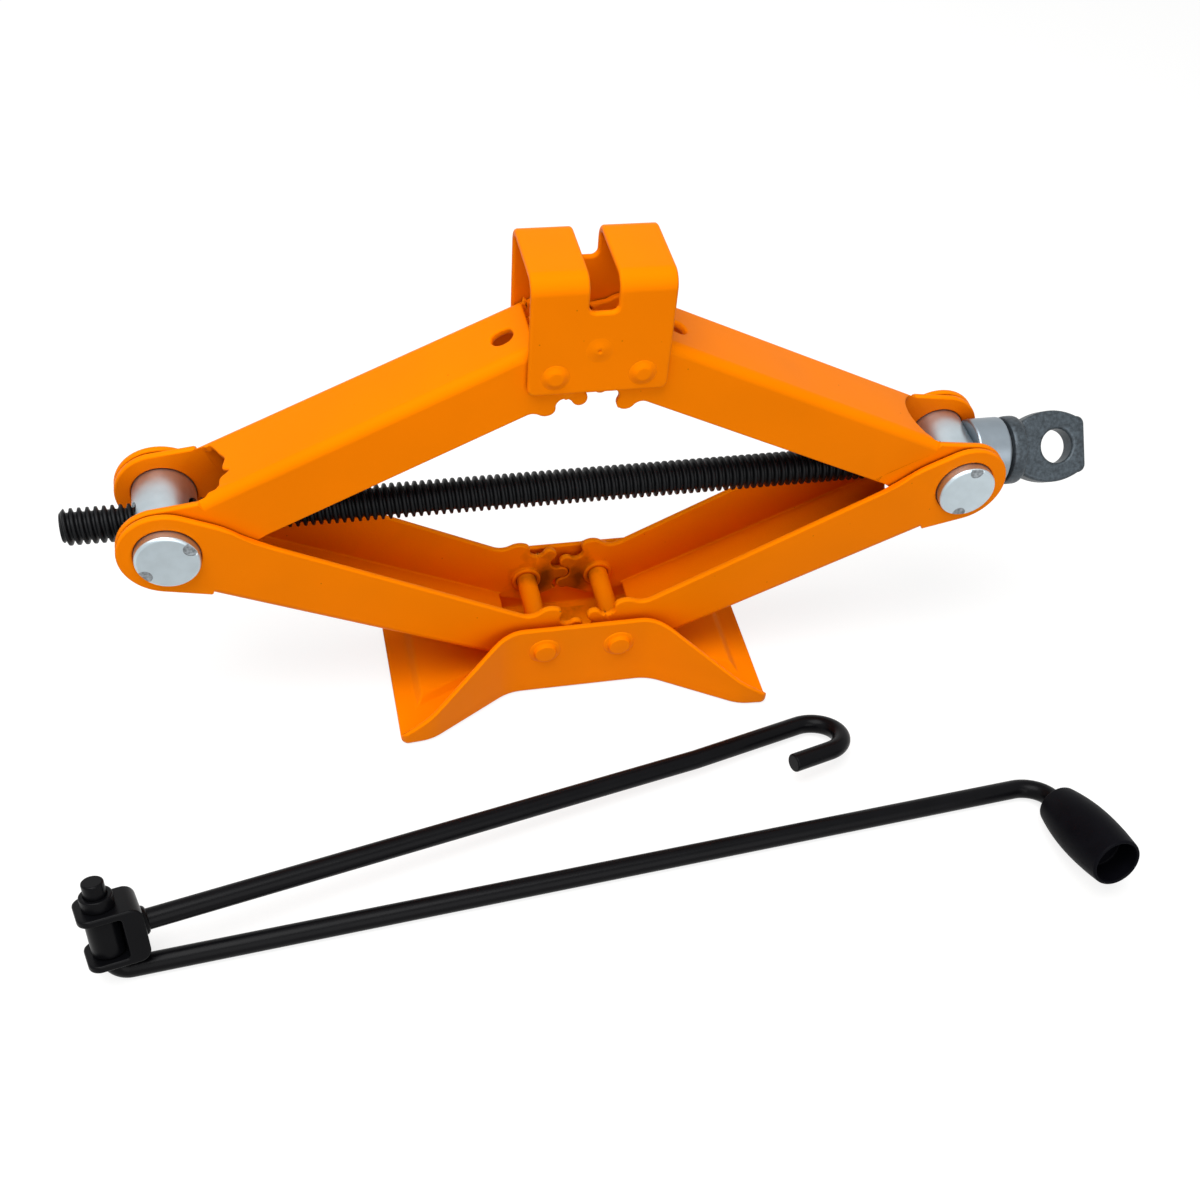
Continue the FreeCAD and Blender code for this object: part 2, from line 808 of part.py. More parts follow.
def make_cross_pin(label, x, thrust):
    """A cross pin through the ears of a pair of arms, bored for the screw."""
    body = new_body(label)
    sketch = new_sketch(body, label + "_profile", "XY_Plane")
    radius = size("cross_radius")
    half = size("cross_half")
    chamfer = size("cross_chamfer")
    draw(sketch, [
        line(0, -half),
        line(radius - chamfer, -half),
        line(radius, chamfer - half),
        line(radius, half - chamfer),
        line(radius - chamfer, half),
        line(0, half),
    ])
    revolve(body, sketch, "V_Axis")
    bore = new_sketch(body, label + "_bore", "YZ_Plane")
    draw_circle(bore, 0, 0, size("screw_radius") + GAP)
    pocket(body, bore, side="Symmetric")
    if thrust:
        seat = new_sketch(body, label + "_seat", "XY_Plane")
        seat_half = size("cup_seat_half")
        draw(seat, [
            line(size("cup_start"), -seat_half),
            line(2 * radius, -seat_half),
            line(2 * radius, seat_half),
            line(size("cup_start"), seat_half),
        ])
        pocket(body, seat, side="Symmetric")
    place(body, frame(x, 0, CROSS_Z))


def make_turned(label, points, place_frame):
    """A piece turned about the screw's axis, from a half outline of (along, radius) points."""
    body = new_body(label)
    sketch = new_sketch(body, label + "_profile", "XY_Plane")
    draw(sketch, points)
    revolve(body, sketch, "H_Axis")
    place(body, place_frame)
    return body


def make_bearing():
    """The thrust bearing between the plain cross pin and the eye."""
    here = frame(CROSS_X, 0, CROSS_Z)
    bore = size("screw_radius") + GAP
    floor = size("cup_floor")
    chamfer = size("cross_chamfer")
    rim = size("cup_radius")
    make_turned("thrust_cup", [
        line(size("cup_start"), bore),
        line(floor, bore),
        line(floor, size("cup_bore")),
        line(size("cup_end"), size("cup_bore")),
        line(size("cup_end"), rim - chamfer),
        line(size("cup_end") - chamfer, rim),
        line(size("cup_start") + chamfer, rim),
        line(size("cup_start"), rim - chamfer),
    ], here)
    race_start = floor + 2 * size("ball_radius") + GAP
    make_turned("thrust_race", [
        line(race_start, bore),
        line(size("race_end"), bore),
        line(size("race_end"), size("race_radius")),
        line(race_start, size("race_radius")),
    ], here)
    balls = []
    for number in range(BALL_COUNT):
        ball = doc.addObject("Part::Sphere", f"ball_{number + 1}")
        bind(ball, "Radius", size("ball_radius"))
        angle = dim(number * 360.0 / BALL_COUNT)
        along = CROSS_X + floor + size("ball_radius") + GAP / 2
        y = size("ball_ring") * cosine(angle)
        z = CROSS_Z + size("ball_ring") * sine(angle)
        place(ball, frame(along, y, z))
        balls.append(ball)
    group = doc.addObject("Part::Compound", "bearing_balls")
    group.Label = "bearing_balls"
    group.Links = balls


def make_screw():
    """The lead screw, plain at its thread's outer size, and the forged eye on its end."""
    here = frame(CROSS_X, 0, CROSS_Z)
    radius = size("screw_radius")
    left = -size("screw_left")
    chamfer = size("screw_chamfer")
    make_turned("lead_screw", [
        line(left, 0),
        line(left, radius - chamfer),
        line(left + chamfer, radius),
        line(size("screw_right"), radius),
        line(size("screw_right"), 0),
    ], here)
    rim = size("flange_radius")
    start = size("race_end") + GAP / 2
    bevel = size("cross_chamfer")
    eye = make_turned("screw_eye", [
        line(start, 0),
        line(start, rim - bevel),
        line(start + bevel, rim),
        line(size("flange_end") - bevel, rim),
        line(size("flange_end"), rim - bevel),
        line(size("flange_end") + bevel, 0),
    ], frame(CROSS_X, 0, CROSS_Z, 0, 0, size("eye_turn")))
    plate = new_sketch(eye, "eye_plate", "XZ_Plane")
    neck = size("eye_neck_half")
    end = size("eye_end")
    end_half = size("eye_end_half")
    corner = size("eye_end_corner")
    neck_x = size("flange_end") - bevel
    draw(plate, [
        line(neck_x, -neck),
        arc(end - corner, -end_half, size("eye_side_radius"), 1),
        arc(end, corner - end_half, corner, 1),
        line(end, end_half - corner),
        arc(end - corner, end_half, corner, 1),
        arc(neck_x, neck, size("eye_side_radius"), 1),
    ])
    pad(eye, plate, size("eye_thick"), side="Symmetric")
    hole = new_sketch(eye, "eye_hole", "XZ_Plane")
    draw_circle(hole, size("eye_hole_x"), 0, size("eye_hole_radius"))
    pocket(eye, hole, side="Symmetric")
    socket = new_sketch(eye, "eye_socket", "YZ_Plane", size("screw_right"))
    draw_circle(socket, 0, 0, radius)
    pocket(eye, socket)


def make_crank():
    """The crank rod: bent up to the pivot at one end and out to the grip at the other."""
    body = new_body("crank_rod")
    radius = size("rod_radius")
    middle = size("crank_length") / 2
    bend = size("pivot_bend")
    throw_bend = size("crank_bend")
    ends = (
        ("pivot", "XZ_Plane", [
            line(middle, 0),
            line(bend, 0),
            arc(0, bend, bend, -1),
            line(0, size("pivot_length")),
        ]),
        ("throw", "XY_Plane", [
            line(middle, 0),
            line(size("crank_length") - throw_bend, 0),
            arc(size("crank_length"), -throw_bend, throw_bend, -1),
            line(size("crank_length"), -size("throw_length")),
        ]),
    )
    for name, role, steps in ends:
        profile = new_sketch(body, f"crank_{name}_section", "YZ_Plane", middle)
        draw_circle(profile, 0, 0, radius)
        spine = new_sketch(body, f"crank_{name}_path", role)
        draw(spine, steps, closed=False)
        pipe(body, profile, spine)
    place(body, CRANK)


def make_grip():
    """The barrel grip that turns on the crank."""
    body = new_body("crank_grip")
    sketch = new_sketch(body, "grip_profile", "XY_Plane")
    start = size("grip_start")
    end = start + size("grip_length")
    belly = size("grip_belly_radius")
    belly_along = start + size("grip_belly_along")
    bore = size("rod_radius") + GAP
    hollow = size("grip_hollow_radius")
    first_run = size("grip_belly_along")
    first_rise = belly - size("grip_neck_radius")
    first_sweep = (first_run * first_run + first_rise * first_rise) / (2 * first_rise)
    last_run = size("grip_length") - size("grip_belly_along")
    last_rise = belly - size("grip_end_radius")
    last_sweep = (last_run * last_run + last_rise * last_rise) / (2 * last_rise)
    draw(sketch, [
        line(bore, -start),
        line(bore, size("grip_hollow_depth") - end),
        line(hollow, size("grip_hollow_depth") - end),
        line(hollow, -end),
        line(size("grip_end_radius"), -end),
        arc(belly, -belly_along, last_sweep, 1),
        arc(size("grip_neck_radius"), -start, first_sweep, 1),
    ])
    revolve(body, sketch, "V_Axis")
    place(body, CRANK, frame(size("crank_length"), 0, 0))


def make_clevis():
    """The clevis that joins the hook rod to the pivot, and the washer that keeps it there."""
    body = new_body("clevis_bracket")
    profile = new_sketch(body, "clevis_profile", "XZ_Plane")
    half = size("clevis_gap_half")
    wall = size("clevis_wall")
    reach = size("clevis_reach")
    bend = size("clevis_bend")
    inner = bend - wall
    inside = reach - size("clevis_web")
    back = -size("clevis_half_width")
    draw(profile, [
        line(back, -half - wall),
        line(reach - bend, -half - wall),
        arc(reach, bend - half - wall, bend, 1),
        line(reach, half + wall - bend),
        arc(reach - bend, half + wall, bend, 1),
        line(back, half + wall),
        line(back, half),
        line(inside - inner, half),
        arc(inside, half - inner, inner, -1),
        line(inside, inner - half),
        arc(inside - inner, -half, inner, -1),
        line(back, -half),
    ])
    plates = pad(body, profile, 2 * size("clevis_half_width"), side="Symmetric")
    fillet(
        body, plates, size("clevis_half_width") - size("clevis_end_flat"),
        lambda edge: near(edge.BoundBox.XMax, back.value) and near(edge.BoundBox.ZLength, wall.value),
    )
    bore = new_sketch(body, "clevis_bore", "XY_Plane")
    draw_circle(bore, 0, 0, size("rod_radius") + GAP)
    pocket(body, bore, side="Symmetric")
    place(body, CRANK, HOOK)
    washer = new_body("pivot_washer")
    ring = new_sketch(washer, "washer_ring", "XY_Plane")
    draw_circle(ring, 0, 0, size("washer_radius"))
    draw_circle(ring, 0, 0, size("rod_radius"))
    pad(washer, ring, size("washer_height"))
    place(washer, CRANK, frame(0, 0, size("hook_height") + half + wall + GAP))


def make_hook():
    """The hook rod: a long leg with a slight kink, then a hook that turns back on itself."""
    body = new_body("hook_rod")
    profile = new_sketch(body, "hook_section", "YZ_Plane", size("hook_start"))
    draw_circle(profile, 0, 0, size("rod_radius"))
    kink = size("hook_kink_angle")
    kink_radius = size("hook_kink_radius")
    start = size("hook_start")
    first_x = start + size("hook_first_leg")
    second_x = first_x + kink_radius * sine(kink)
    second_y = kink_radius * (1 - cosine(kink))
    bend_x = second_x + size("hook_second_leg") * cosine(kink)
    bend_y = second_y + size("hook_second_leg") * sine(kink)
    bend = size("hook_bend")
    top_x = bend_x + bend * (sine(kink) + cosine(kink))
    top_y = bend_y + bend * (sine(kink) - cosine(kink))
    back_x = bend_x + 2 * bend * sine(kink)
    back_y = bend_y - 2 * bend * cosine(kink)
    path = new_sketch(body, "hook_path", "XY_Plane")
    draw(path, [
        line(start, 0),
        line(first_x, 0),
        arc(second_x, second_y, kink_radius, 1),
        line(bend_x, bend_y),
        arc(top_x, top_y, bend, -1),
        arc(back_x, back_y, bend, -1),
        line(back_x - size("hook_return") * cosine(kink), back_y - size("hook_return") * sine(kink)),
    ], closed=False)
    pipe(body, profile, path)
    place(body, CRANK, HOOK)


def export_parts():
    """Check every object, then write one file per sub-part."""
    doc.recompute()
    for item in doc.Objects:
        if "Invalid" in item.State or "Touched" in item.State:
            raise RuntimeError(f"{item.Label} is {item.State}")
    pieces = [item for item in doc.Objects if item.TypeId == "PartDesign::Body"]
    pieces += [item for item in doc.Objects if item.TypeId == "Part::Compound"]
    for piece in pieces:
        shape = piece.Shape
        if shape.isNull() or not shape.isValid():
            raise RuntimeError(f"{piece.Label} has no valid shape")
        shape.exportStep(f"parts/{piece.Label}.step")


def main():
    fill_sheet()
    make_base()
    base_reach = size("waist_half_width")
    saddle_reach = size("saddle_half_width")
    for name, sign in (("left", -1), ("right", 1)):
        make_pin(f"base_pin_{name}", sign * PIVOT, size("base_pivot_z"), base_reach)
        make_pin(f"saddle_pin_{name}", sign * PIVOT, SADDLE_Z, saddle_reach)
        yaw = 0 if sign < 0 else 180
        make_arm(f"lower_{name}_arm", "lower", 1, sign * CROSS_X, yaw)
        make_arm(f"upper_{name}_arm", "upper", -1, sign * CROSS_X, yaw)
    make_saddle()
    make_cross_pin("nut_trunnion", -CROSS_X, False)
    make_cross_pin("thrust_trunnion", CROSS_X, True)
    make_bearing()
    make_screw()
    make_crank()
    make_grip()
    make_clevis()
    make_hook()
    export_parts()


main()
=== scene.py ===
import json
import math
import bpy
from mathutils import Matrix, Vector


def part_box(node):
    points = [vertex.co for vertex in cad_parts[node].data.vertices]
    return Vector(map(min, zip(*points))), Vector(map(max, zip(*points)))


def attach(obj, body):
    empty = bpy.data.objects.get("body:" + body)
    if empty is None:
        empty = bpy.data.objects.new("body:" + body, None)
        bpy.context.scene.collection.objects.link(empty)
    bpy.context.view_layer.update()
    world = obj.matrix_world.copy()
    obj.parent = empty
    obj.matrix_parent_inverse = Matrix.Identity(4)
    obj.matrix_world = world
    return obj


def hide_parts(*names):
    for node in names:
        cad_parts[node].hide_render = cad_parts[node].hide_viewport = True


bl_info = {
    "name": "Scissor Jack",
    "version": (1, 0, 0),
    "blender": (4, 5, 0),
    "location": "3D View > Sidebar > Jack",
    "description": "Dresses the packed scissor jack: soft sheet edges, thread, rivets, finishes and stage",
    "category": "Object",
}

import bmesh
import bpy
from mathutils import Matrix, Vector
from mathutils.bvhtree import BVHTree

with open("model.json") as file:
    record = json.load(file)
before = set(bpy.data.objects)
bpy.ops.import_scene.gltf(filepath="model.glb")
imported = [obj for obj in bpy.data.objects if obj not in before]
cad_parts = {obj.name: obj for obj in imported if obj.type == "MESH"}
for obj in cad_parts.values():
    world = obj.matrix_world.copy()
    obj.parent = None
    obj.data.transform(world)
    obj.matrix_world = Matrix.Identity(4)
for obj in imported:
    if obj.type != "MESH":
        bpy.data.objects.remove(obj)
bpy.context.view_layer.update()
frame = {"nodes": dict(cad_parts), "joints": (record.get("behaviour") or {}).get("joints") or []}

MM = 0.001
# Points nearer than this are one, and faces thinner than a sliver are closed up
MERGE = 0.002 * MM
SLIVER = 0.008 * MM
# Faces that turn by less than the first angle are one face
# Edges that turn by more than the second are sharp
FLAT_ANGLE = math.radians(1.6)
EDGE_ANGLE = math.radians(28.0)
# Share of the widest round that a point may lie off the solid's skin
STRAY = 0.33
# A face is folded when the cosine between it and the skin is below this, and folds are closed in rounds
FOLDED = 0.3
FOLD_ROUNDS = 6
# Weight of large faces in the shading of a piece
FLAT_WEIGHT = 90
# Points round a turned piece
TURNED, STAKED, SLEEVED = 40, 24, 48


def linear(colour):
    """Turn an sRGB hex value such as F58200 into the linear colour that the shaders take."""
    channels = [int(colour[place:place + 2], 16) / 255 for place in (0, 2, 4)]
    return [value / 12.92 if value <= 0.04045 else ((value + 0.055) / 1.055) ** 2.4 for value in channels]


def middle(name):
    """The middle of a CAD node's box."""
    low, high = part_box(name)
    return (low + high) / 2


NUT = middle("nut_trunnion")
PIN_RADIUS = (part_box("nut_trunnion")[1].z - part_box("nut_trunnion")[0].z) / 2
PIN_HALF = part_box("nut_trunnion")[1].y
THRUST = Vector((-NUT.x, 0, NUT.z))
SCREW_LOW, SCREW_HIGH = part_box("lead_screw")
SCREW_RADIUS = (SCREW_HIGH.z - SCREW_LOW.z) / 2
BASE_RIVET = middle("base_pin_right")
SADDLE_RIVET = middle("saddle_pin_right")
# How far a CAD rivet stands out of its sheet
PIN_HEAD = 2.0 * MM
# Middle of the darker patches on the far teeth above the base
DARK_PATCH_MIDDLE = Vector((-2 * MM, 17 * MM, BASE_RIVET.z - 4 * MM))
# Heights between which shade is painted into the hollows: from none to all, and from all to none
HOLLOW_SHADE_HEIGHTS = (9 * MM, 25.5 * MM, 105 * MM, 135 * MM)
# Reach of the painted shade in the hollows, and the shares of the coat's colour that it keeps
HOLLOW_SHADE_REACH = 150 * MM
HOLLOW_SHADE_SHARES = (0.78, 0.44, 0.4)
# Lighter orange of sharp edges: thinner coat and a painted highlight
WORN_AND_HIGHLIT_PAINT = "FF9410"
# Dark colour of the painted shade in gaps, of the dust specks and of the darker patches
SHADE_AND_DUST = "4A1F05"
PAINT_SHINE = "FFA040"
# Lighter steel of convex edges: rubbed wear and a painted highlight
RUBBED_AND_HIGHLIT_STEEL = "8E959C"
BEARING_STEEL = "8C9094"
STAKED_ZINC = "9AA0A4"
# Scale of a Wave Texture that repeats once in a metre
WAVE = 0.314

# Places below are in an arm's own frame: along it from its outer pivot, across it, and up
ARMS = ("lower_left", "lower_right", "upper_left", "upper_right")
# Where the rounded folds of an arm begin and end, and how near an edge lies to count as such an end
BEND_ENDS = (21.5 * MM, 159 * MM)
BEND_NEAR = 0.7 * MM
# Where the notch of the web runs into the folds, and the small round there
NOTCH = (20 * MM, 32 * MM)
FOLD_ACROSS = 12.5 * MM
NOTCH_ROUND = 0.3 * MM
# The web lies between these heights, on either side of the pivots' plane
WEB_LOW, WEB_HIGH = 8 * MM, 15 * MM
# Long faces are split here, so that rounds run straight along them
FACE_SPLITS = (36 * MM, 139 * MM)
DRAIN = (147 * MM, -1.2 * MM)
DRAIN_HALF = (4.3 * MM, 3.9 * MM)
DRAIN_POINTS = 32
# The torn notch in mm: where its cutter starts, half its width, the arc's shoulder, dip and half width
TEAR_START, TEAR_HALF = 22, 13
ARC_SHOULDER, ARC_DIP, ARC_HALF = 24.4, 7.5, 17.3
TEAR_STEP = 0.5
# Bites out of that arc in mm: place across, half width and depth
TEARS = ((-11.8, 2.4, 1.3), (-5.4, 1.5, 3.4), (2.4, 2.7, 1.4))

# Sheet of the base: its wall, and how far out its folds lie at least, under and inside the flanges
BASE_WALL = 2.5 * MM
WALL_NEAR = 0.1 * MM
FOLD_UNDER, FOLD_INSIDE = 20 * MM, 18 * MM
# Mound on the saddle's front: radius, height, depth in the sheet, place from the middle and above the rivets
MOUND, MOUND_HEIGHT, MOUND_SUNK = 5.2 * MM, 0.75 * MM, 0.4 * MM
MOUND_SIDE, MOUND_UP = -0.6 * MM, 10.6 * MM
# Pit in the mound's top, as heights and radii
PIT = ((0.5 * MM, 0.6 * MM), (0.1 * MM, 0.3 * MM), (0.0, 0))
# Turned pieces of paint sink this deep into the sheet, and start this far under its face
SUNK, SKIM = 0.3 * MM, 0.02 * MM
# A rivet's button: the round on its rim, and how much it narrows to the top
BUTTON_RIM, BUTTON_TAPER = 0.7 * MM, 0.25 * MM
# Share of a rivet's dome that is flat on top, and the steps of its profile
DOME_FLAT, DOME_STEPS = 0.42, 15
# Marks of the staking tool on a cross pin: from the rim, depth, radii, and how far the cutter stands out
STAKE_INSET, STAKE_DEPTH = 1.4 * MM, 0.6 * MM
STAKE_FOOT, STAKE_MOUTH, STAKE_OUT = 2.7 * MM, 3.4 * MM, 2 * MM
PIN_ROUND = 0.4 * MM
CUP_ROUND = 0.5 * MM
EYE_ROUND, EYE_HOLLOW = 1.5 * MM, 1.0 * MM
GRIP_ROUND = 0.8 * MM
# Chamfer of the spacer sleeve, and how far the weld reaches into the rod
SLEEVE_CHAMFER, WELD_BITE = 0.5 * MM, 0.2 * MM
# Share of the screw's grid that closes each end, and the outermost row within it
END_SHARE, END_ROW = 0.0015, 0.0003
ROWS_PER_TURN = 12
# Shares of a thread's half turn where its flank leaves the crest and meets the root
FLANK = (0.13, 0.37)
# The hook rod's points this near to the pivot give its direction there
ROD_NEAR = 40 * MM
# Stage: half the floor, its drop under the jack, and where the lamps point
FLOOR_HALF, FLOOR_DROP = 12.0, 0.02 * MM
AIM = Vector((0, 0, 0.08))
# Shares of the floor's colour when it lights the jack and when it is seen, and its glow when seen
FLOOR_LIT, FLOOR_SEEN, FLOOR_GLOW = 0.5, 0.3, 0.8
# Strength of the world as a light and as it is seen
WORLD_LIT, WORLD_SEEN = 0.22, 1.0
WHITE = [1, 1, 1, 1]
# Lamps: name, place and width
LAMPS = (("key", (-0.35, -0.25, 1.35), 1.1), ("fill", (0.25, -1.5, 0.75), 1.2))


class JackSheet(bpy.types.PropertyGroup):
    """Sizes of the pressed sheet."""

    edge: bpy.props.FloatProperty(
        name="Sheet edge", description="Round on the cut edges of the sheet",
        default=0.9 * MM, min=0, unit="LENGTH", precision=4)
    saddle_edge: bpy.props.FloatProperty(
        name="Saddle edge", description="Round on the cut edges of the saddle",
        default=1.25 * MM, min=0, unit="LENGTH", precision=4)
    inner_bend: bpy.props.FloatProperty(
        name="Inner bend", description="Round inside a folded corner",
        default=0.9 * MM, min=0, unit="LENGTH", precision=4)
    base_bend: bpy.props.FloatProperty(
        name="Base bend", description="Round under the flanges of the base",
        default=2.2 * MM, min=0, unit="LENGTH", precision=4)


class JackScrew(bpy.types.PropertyGroup):
    """Sizes of the lead screw's thread."""

    pitch: bpy.props.FloatProperty(
        name="Pitch", description="Distance from one turn to the next",
        default=3.0 * MM, min=0.5 * MM, unit="LENGTH", precision=4)
    depth: bpy.props.FloatProperty(
        name="Depth", description="Depth of the thread",
        default=1.6 * MM, min=0, unit="LENGTH", precision=4)
    around: bpy.props.IntProperty(
        name="Around", description="Points in one turn", default=44, min=8)


class JackRivets(bpy.types.PropertyGroup):
    """Sizes of the rivets."""

    shank: bpy.props.FloatProperty(
        name="Shank", description="Radius of a rivet between the sheets",
        default=4.3 * MM, min=0, unit="LENGTH", precision=4)
    skirt: bpy.props.FloatProperty(
        name="Skirt", description="Radius of the soft swelling round a rivet head",
        default=6.8 * MM, min=0, unit="LENGTH", precision=4)
    button: bpy.props.FloatProperty(
        name="Button", description="Radius of a rivet head on the base",
        default=4.9 * MM, min=0, unit="LENGTH", precision=4)
    button_height: bpy.props.FloatProperty(
        name="Button height", description="Height of a rivet head on the base",
        default=2.2 * MM, min=0, unit="LENGTH", precision=4)
    dome: bpy.props.FloatProperty(
        name="Dome", description="Radius of a rivet head on the saddle",
        default=5.2 * MM, min=0, unit="LENGTH", precision=4)
    dome_height: bpy.props.FloatProperty(
        name="Dome height", description="Height of a rivet head on the saddle",
        default=1.3 * MM, min=0, unit="LENGTH", precision=4)


class JackHandle(bpy.types.PropertyGroup):
    """Sizes of the handle's fold."""

    rod: bpy.props.FloatProperty(
        name="Rod", description="Radius of the bent rods",
        default=4.0 * MM, min=0, unit="LENGTH", precision=4)
    sleeve: bpy.props.FloatProperty(
        name="Sleeve", description="Radius of the spacer sleeve on the pivot",
        default=6.2 * MM, min=0, unit="LENGTH", precision=4)
    sleeve_half: bpy.props.FloatProperty(
        name="Sleeve half length", description="Half the length of the spacer sleeve",
        default=8.3 * MM, min=0, unit="LENGTH", precision=4)
    weld: bpy.props.FloatProperty(
        name="Weld", description="Size of the weld between the hook rod and the clevis",
        default=1.7 * MM, min=0, unit="LENGTH", precision=4)


class JackColours(bpy.types.PropertyGroup):
    """Colours of the finishes, as sRGB hex values."""

    paint: bpy.props.StringProperty(
        name="Paint", description="Powder coat of the lifting frame", default="F57E00")
    zinc: bpy.props.StringProperty(
        name="Zinc", description="Plating of the cross pins", default="BCC8CE")
    cup: bpy.props.StringProperty(
        name="Cup", description="Turned steel of the thrust cup", default="8B959D")
    screw: bpy.props.StringProperty(
        name="Screw", description="Phosphate coat of the lead screw", default="0A0B0D")
    forging: bpy.props.StringProperty(
        name="Forging", description="Scale on the forged eye", default="3D454B")
    handle: bpy.props.StringProperty(
        name="Handle", description="Enamel of the handle rods", default="08080A")
    grip: bpy.props.StringProperty(
        name="Grip", description="Moulded grip", default="08080C")


class JackStage(bpy.types.PropertyGroup):
    """Camera, floor and lamps."""

    location: bpy.props.FloatVectorProperty(
        name="Camera", description="Place of the camera",
        default=(-0.11543, -0.451385, 0.481029), subtype="XYZ", unit="LENGTH", precision=4)
    tilt: bpy.props.FloatProperty(
        name="Tilt", description="Turn of the camera up from straight down",
        default=0.6889, unit="ROTATION")
    swing: bpy.props.FloatProperty(
        name="Swing", description="Turn of the camera about the vertical", default=-0.3371, unit="ROTATION")
    roll: bpy.props.FloatProperty(
        name="Roll", description="Turn of the picture about its middle", default=0.14, unit="ROTATION")
    lens: bpy.props.FloatProperty(
        name="Lens", description="Focal length in millimetres", default=44.145, min=1)
    shift: bpy.props.FloatVectorProperty(
        name="Shift", description="Shift of the picture, as a share of its width",
        default=(-0.0324, 0.1422), size=2)
    floor: bpy.props.StringProperty(
        name="Floor", description="Colour of the floor", default="F2F2F0")
    key: bpy.props.FloatProperty(
        name="Key", description="Power of the large lamp above, in watts", default=22.0, min=0)
    fill: bpy.props.FloatProperty(
        name="Fill", description="Power of the lamp in front, in watts", default=10.6, min=0)


def node(tree, kind, settings=None):
    """Add one node: a socket is linked, any other value set on the input or option of that name or number."""
    made = tree.nodes.new(kind)
    for name, value in (settings or {}).items():
        if isinstance(value, bpy.types.NodeSocket):
            tree.links.new(value, made.inputs[name])
        elif isinstance(name, int) or name in made.inputs:
            made.inputs[name].default_value = value
        else:
            setattr(made, name, value)
    return made


def calc(tree, operation, *values):
    """The result of a Math node on sockets or numbers."""
    return node(tree, "ShaderNodeMath", {"operation": operation, **dict(enumerate(values))}).outputs[0]


def scaled(tree, value, start, end, low=0.0, high=1.0, **options):
    """A value mapped from start..end to low..high."""
    settings = {"From Min": start, "From Max": end, "To Min": low, "To Max": high}
    return node(tree, "ShaderNodeMapRange", {**options, "Value": value, **settings}).outputs[0]


def noise(tree, place, size, detail, rough=0.5):
    """Noise with patches of about the given size."""
    settings = {"Scale": 1 / size, "Detail": detail, "Roughness": rough, "Vector": place}
    return node(tree, "ShaderNodeTexNoise", settings).outputs["Fac"]


def occlusion(tree, reach):
    """How open a face is to its surroundings, from 0 to 1, within a reach."""
    return node(tree, "ShaderNodeAmbientOcclusion", {"samples": 4, "Distance": reach}).outputs["AO"]


def pointiness(tree):
    """Above one half on convex edges, and below it in corners."""
    return node(tree, "ShaderNodeNewGeometry").outputs["Pointiness"]


def ramp(tree, value, stops):
    """A value turned into a colour, by stops of (position, colour)."""
    made = node(tree, "ShaderNodeValToRGB", {0: value})
    marks = made.color_ramp.elements
    while len(marks) < len(stops):
        marks.new(1.0)
    for mark, (position, colour) in zip(marks, stops):
        mark.position = position
        mark.color = [*colour, 1]
    return made.outputs[0]


def blend(tree, share, first, colour):
    """A colour socket blended into a plain colour by a share."""
    return node(tree, "ShaderNodeMix", {
        "data_type": "RGBA", "B": [*colour, 1], "Factor": share, "A": first}).outputs["Result"]


def new_material(name):
    """Start a node material: its tree, its shader and its Object coordinates."""
    material = bpy.data.materials.new(name)
    material.use_nodes = True
    tree = material.node_tree
    tree.nodes.clear()
    shader = node(tree, "ShaderNodeBsdfPrincipled")
    node(tree, "ShaderNodeOutputMaterial", {"Surface": shader.outputs[0]})
    place = node(tree, "ShaderNodeTexCoord").outputs["Object"]
    return tree, shader, place


def dress(tree, shader, colour, rough, height, strength, depth):
    """Wire colour, roughness and a bump of the given depth into a shader."""
    bump = node(tree, "ShaderNodeBump", {"Strength": strength, "Distance": depth, "Height": height})
    tree.links.new(colour, shader.inputs["Base Color"])
    tree.links.new(rough, shader.inputs["Roughness"])
    tree.links.new(bump.outputs[0], shader.inputs["Normal"])


def shaded(colour, share):
    """A colour made darker or lighter, no further than full."""
    return [min(value * share, 1) for value in colour]


